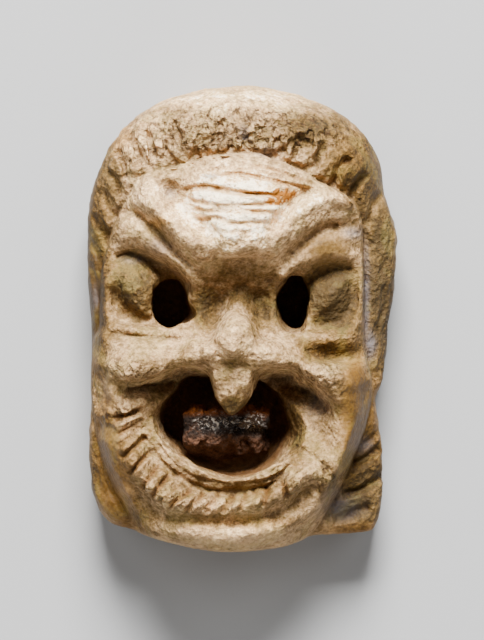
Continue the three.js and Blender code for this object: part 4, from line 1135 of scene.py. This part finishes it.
colour = tinted(tree, ramp(tree, grain, 0.55, 0.38, 0.0, 0.7), colour, SCALE_BLACK)
colour = tinted(tree, orange, colour, RUST_ORANGE)
glassy = attribute(tree, "glassy")
# Painted highlights: pale glints set into the colour along the glassy crest
painted_glints = thinned(tree, glassy, grained(tree, 0.55, 3.0, 0.6, 1.2), 0.52, 0.63, 0.0)
colour = tinted(tree, painted_glints, colour, GLINT)
connect(tree, shader.inputs["Base Color"], colour)
connect(tree, shader.inputs["Roughness"], ramp(tree, glassy, 0.2, 0.8, 0.65, 0.22))
connect(tree, shader.inputs["Specular IOR Level"], ramp(tree, glassy, 0.2, 0.8, 0.12, 0.9))
iron_height = sums(tree, "ADD", grain, sums(tree, "MULTIPLY", crystals, 0.8))
connect(tree, shader.inputs["Normal"], bumped(tree, iron_height, 0.8))
iron.data.materials.append(iron_material)
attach(iron, "root")
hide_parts("iron_stub")

# The floor.
# A plain pale sheet of matt paper that the mask lies on, for the picture only.
FLOOR_SIZE = 1.2
FLOOR_GREY = (0.3, 0.3, 0.3, 1)
bpy.ops.mesh.primitive_plane_add(size=FLOOR_SIZE, location=(0, 0, 0))
floor = bpy.context.object
floor.name = "floor"
floor_material = bpy.data.materials.new("floor_paper")
floor_material.use_nodes = True
paper = floor_material.node_tree.nodes["Principled BSDF"]
paper.inputs["Base Color"].default_value = FLOOR_GREY
paper.inputs["Roughness"].default_value = 0.9
floor.data.materials.append(floor_material)

# The studio light.
# One broad soft key stands beyond the crown, with weaker fills at both sides and at the foot.
LAMP_DISTANCE = 0.6
WORLD_LIGHT = 0.04


def softbox(name, azimuth, elevation, size, power):
    """A square area light at a bearing round the mask, facing it."""
    light = bpy.data.lights.new(name, "AREA")
    light.size = size
    light.energy = power
    lamp = bpy.data.objects.new(name, light)
    a, e = math.radians(azimuth), math.radians(elevation)
    lamp.location = (
        LAMP_DISTANCE * math.cos(e) * math.cos(a),
        LAMP_DISTANCE * math.cos(e) * math.sin(a),
        LAMP_DISTANCE * math.sin(e),
    )
    lamp.rotation_euler = (-lamp.location).to_track_quat("-Z", "Y").to_euler()
    bpy.context.collection.objects.link(lamp)


softbox("key", 90, 45, 0.24, 21.5)
softbox("fill_left", 150, 50, 0.25, 0.8)
softbox("fill_right", 30, 50, 0.25, 0.8)
softbox("fill_foot", 270, 32, 0.3, 2.2)
world = bpy.data.worlds.new("studio")
bpy.context.scene.world = world
world.use_nodes = True
background = world.node_tree.nodes["Background"]
background.inputs["Color"].default_value = (1, 1, 1, 1)
background.inputs["Strength"].default_value = WORLD_LIGHT

# The camera.
# It looks straight down on the face through a long lens, which shows the mask as the photograph does.
CAMERA_DISTANCE = 0.9
FACE_MIDDLE = 0.010
PICTURE_HEIGHT = 0.064
SENSOR = 36.0
camera_data = bpy.data.cameras.new("camera")
camera_data.sensor_fit = "VERTICAL"
camera_data.sensor_height = SENSOR
camera_data.lens = SENSOR * CAMERA_DISTANCE / PICTURE_HEIGHT
camera = bpy.data.objects.new("camera", camera_data)
camera.location = (0, -0.0001, CAMERA_DISTANCE + FACE_MIDDLE)
bpy.context.collection.objects.link(camera)
bpy.context.scene.camera = camera
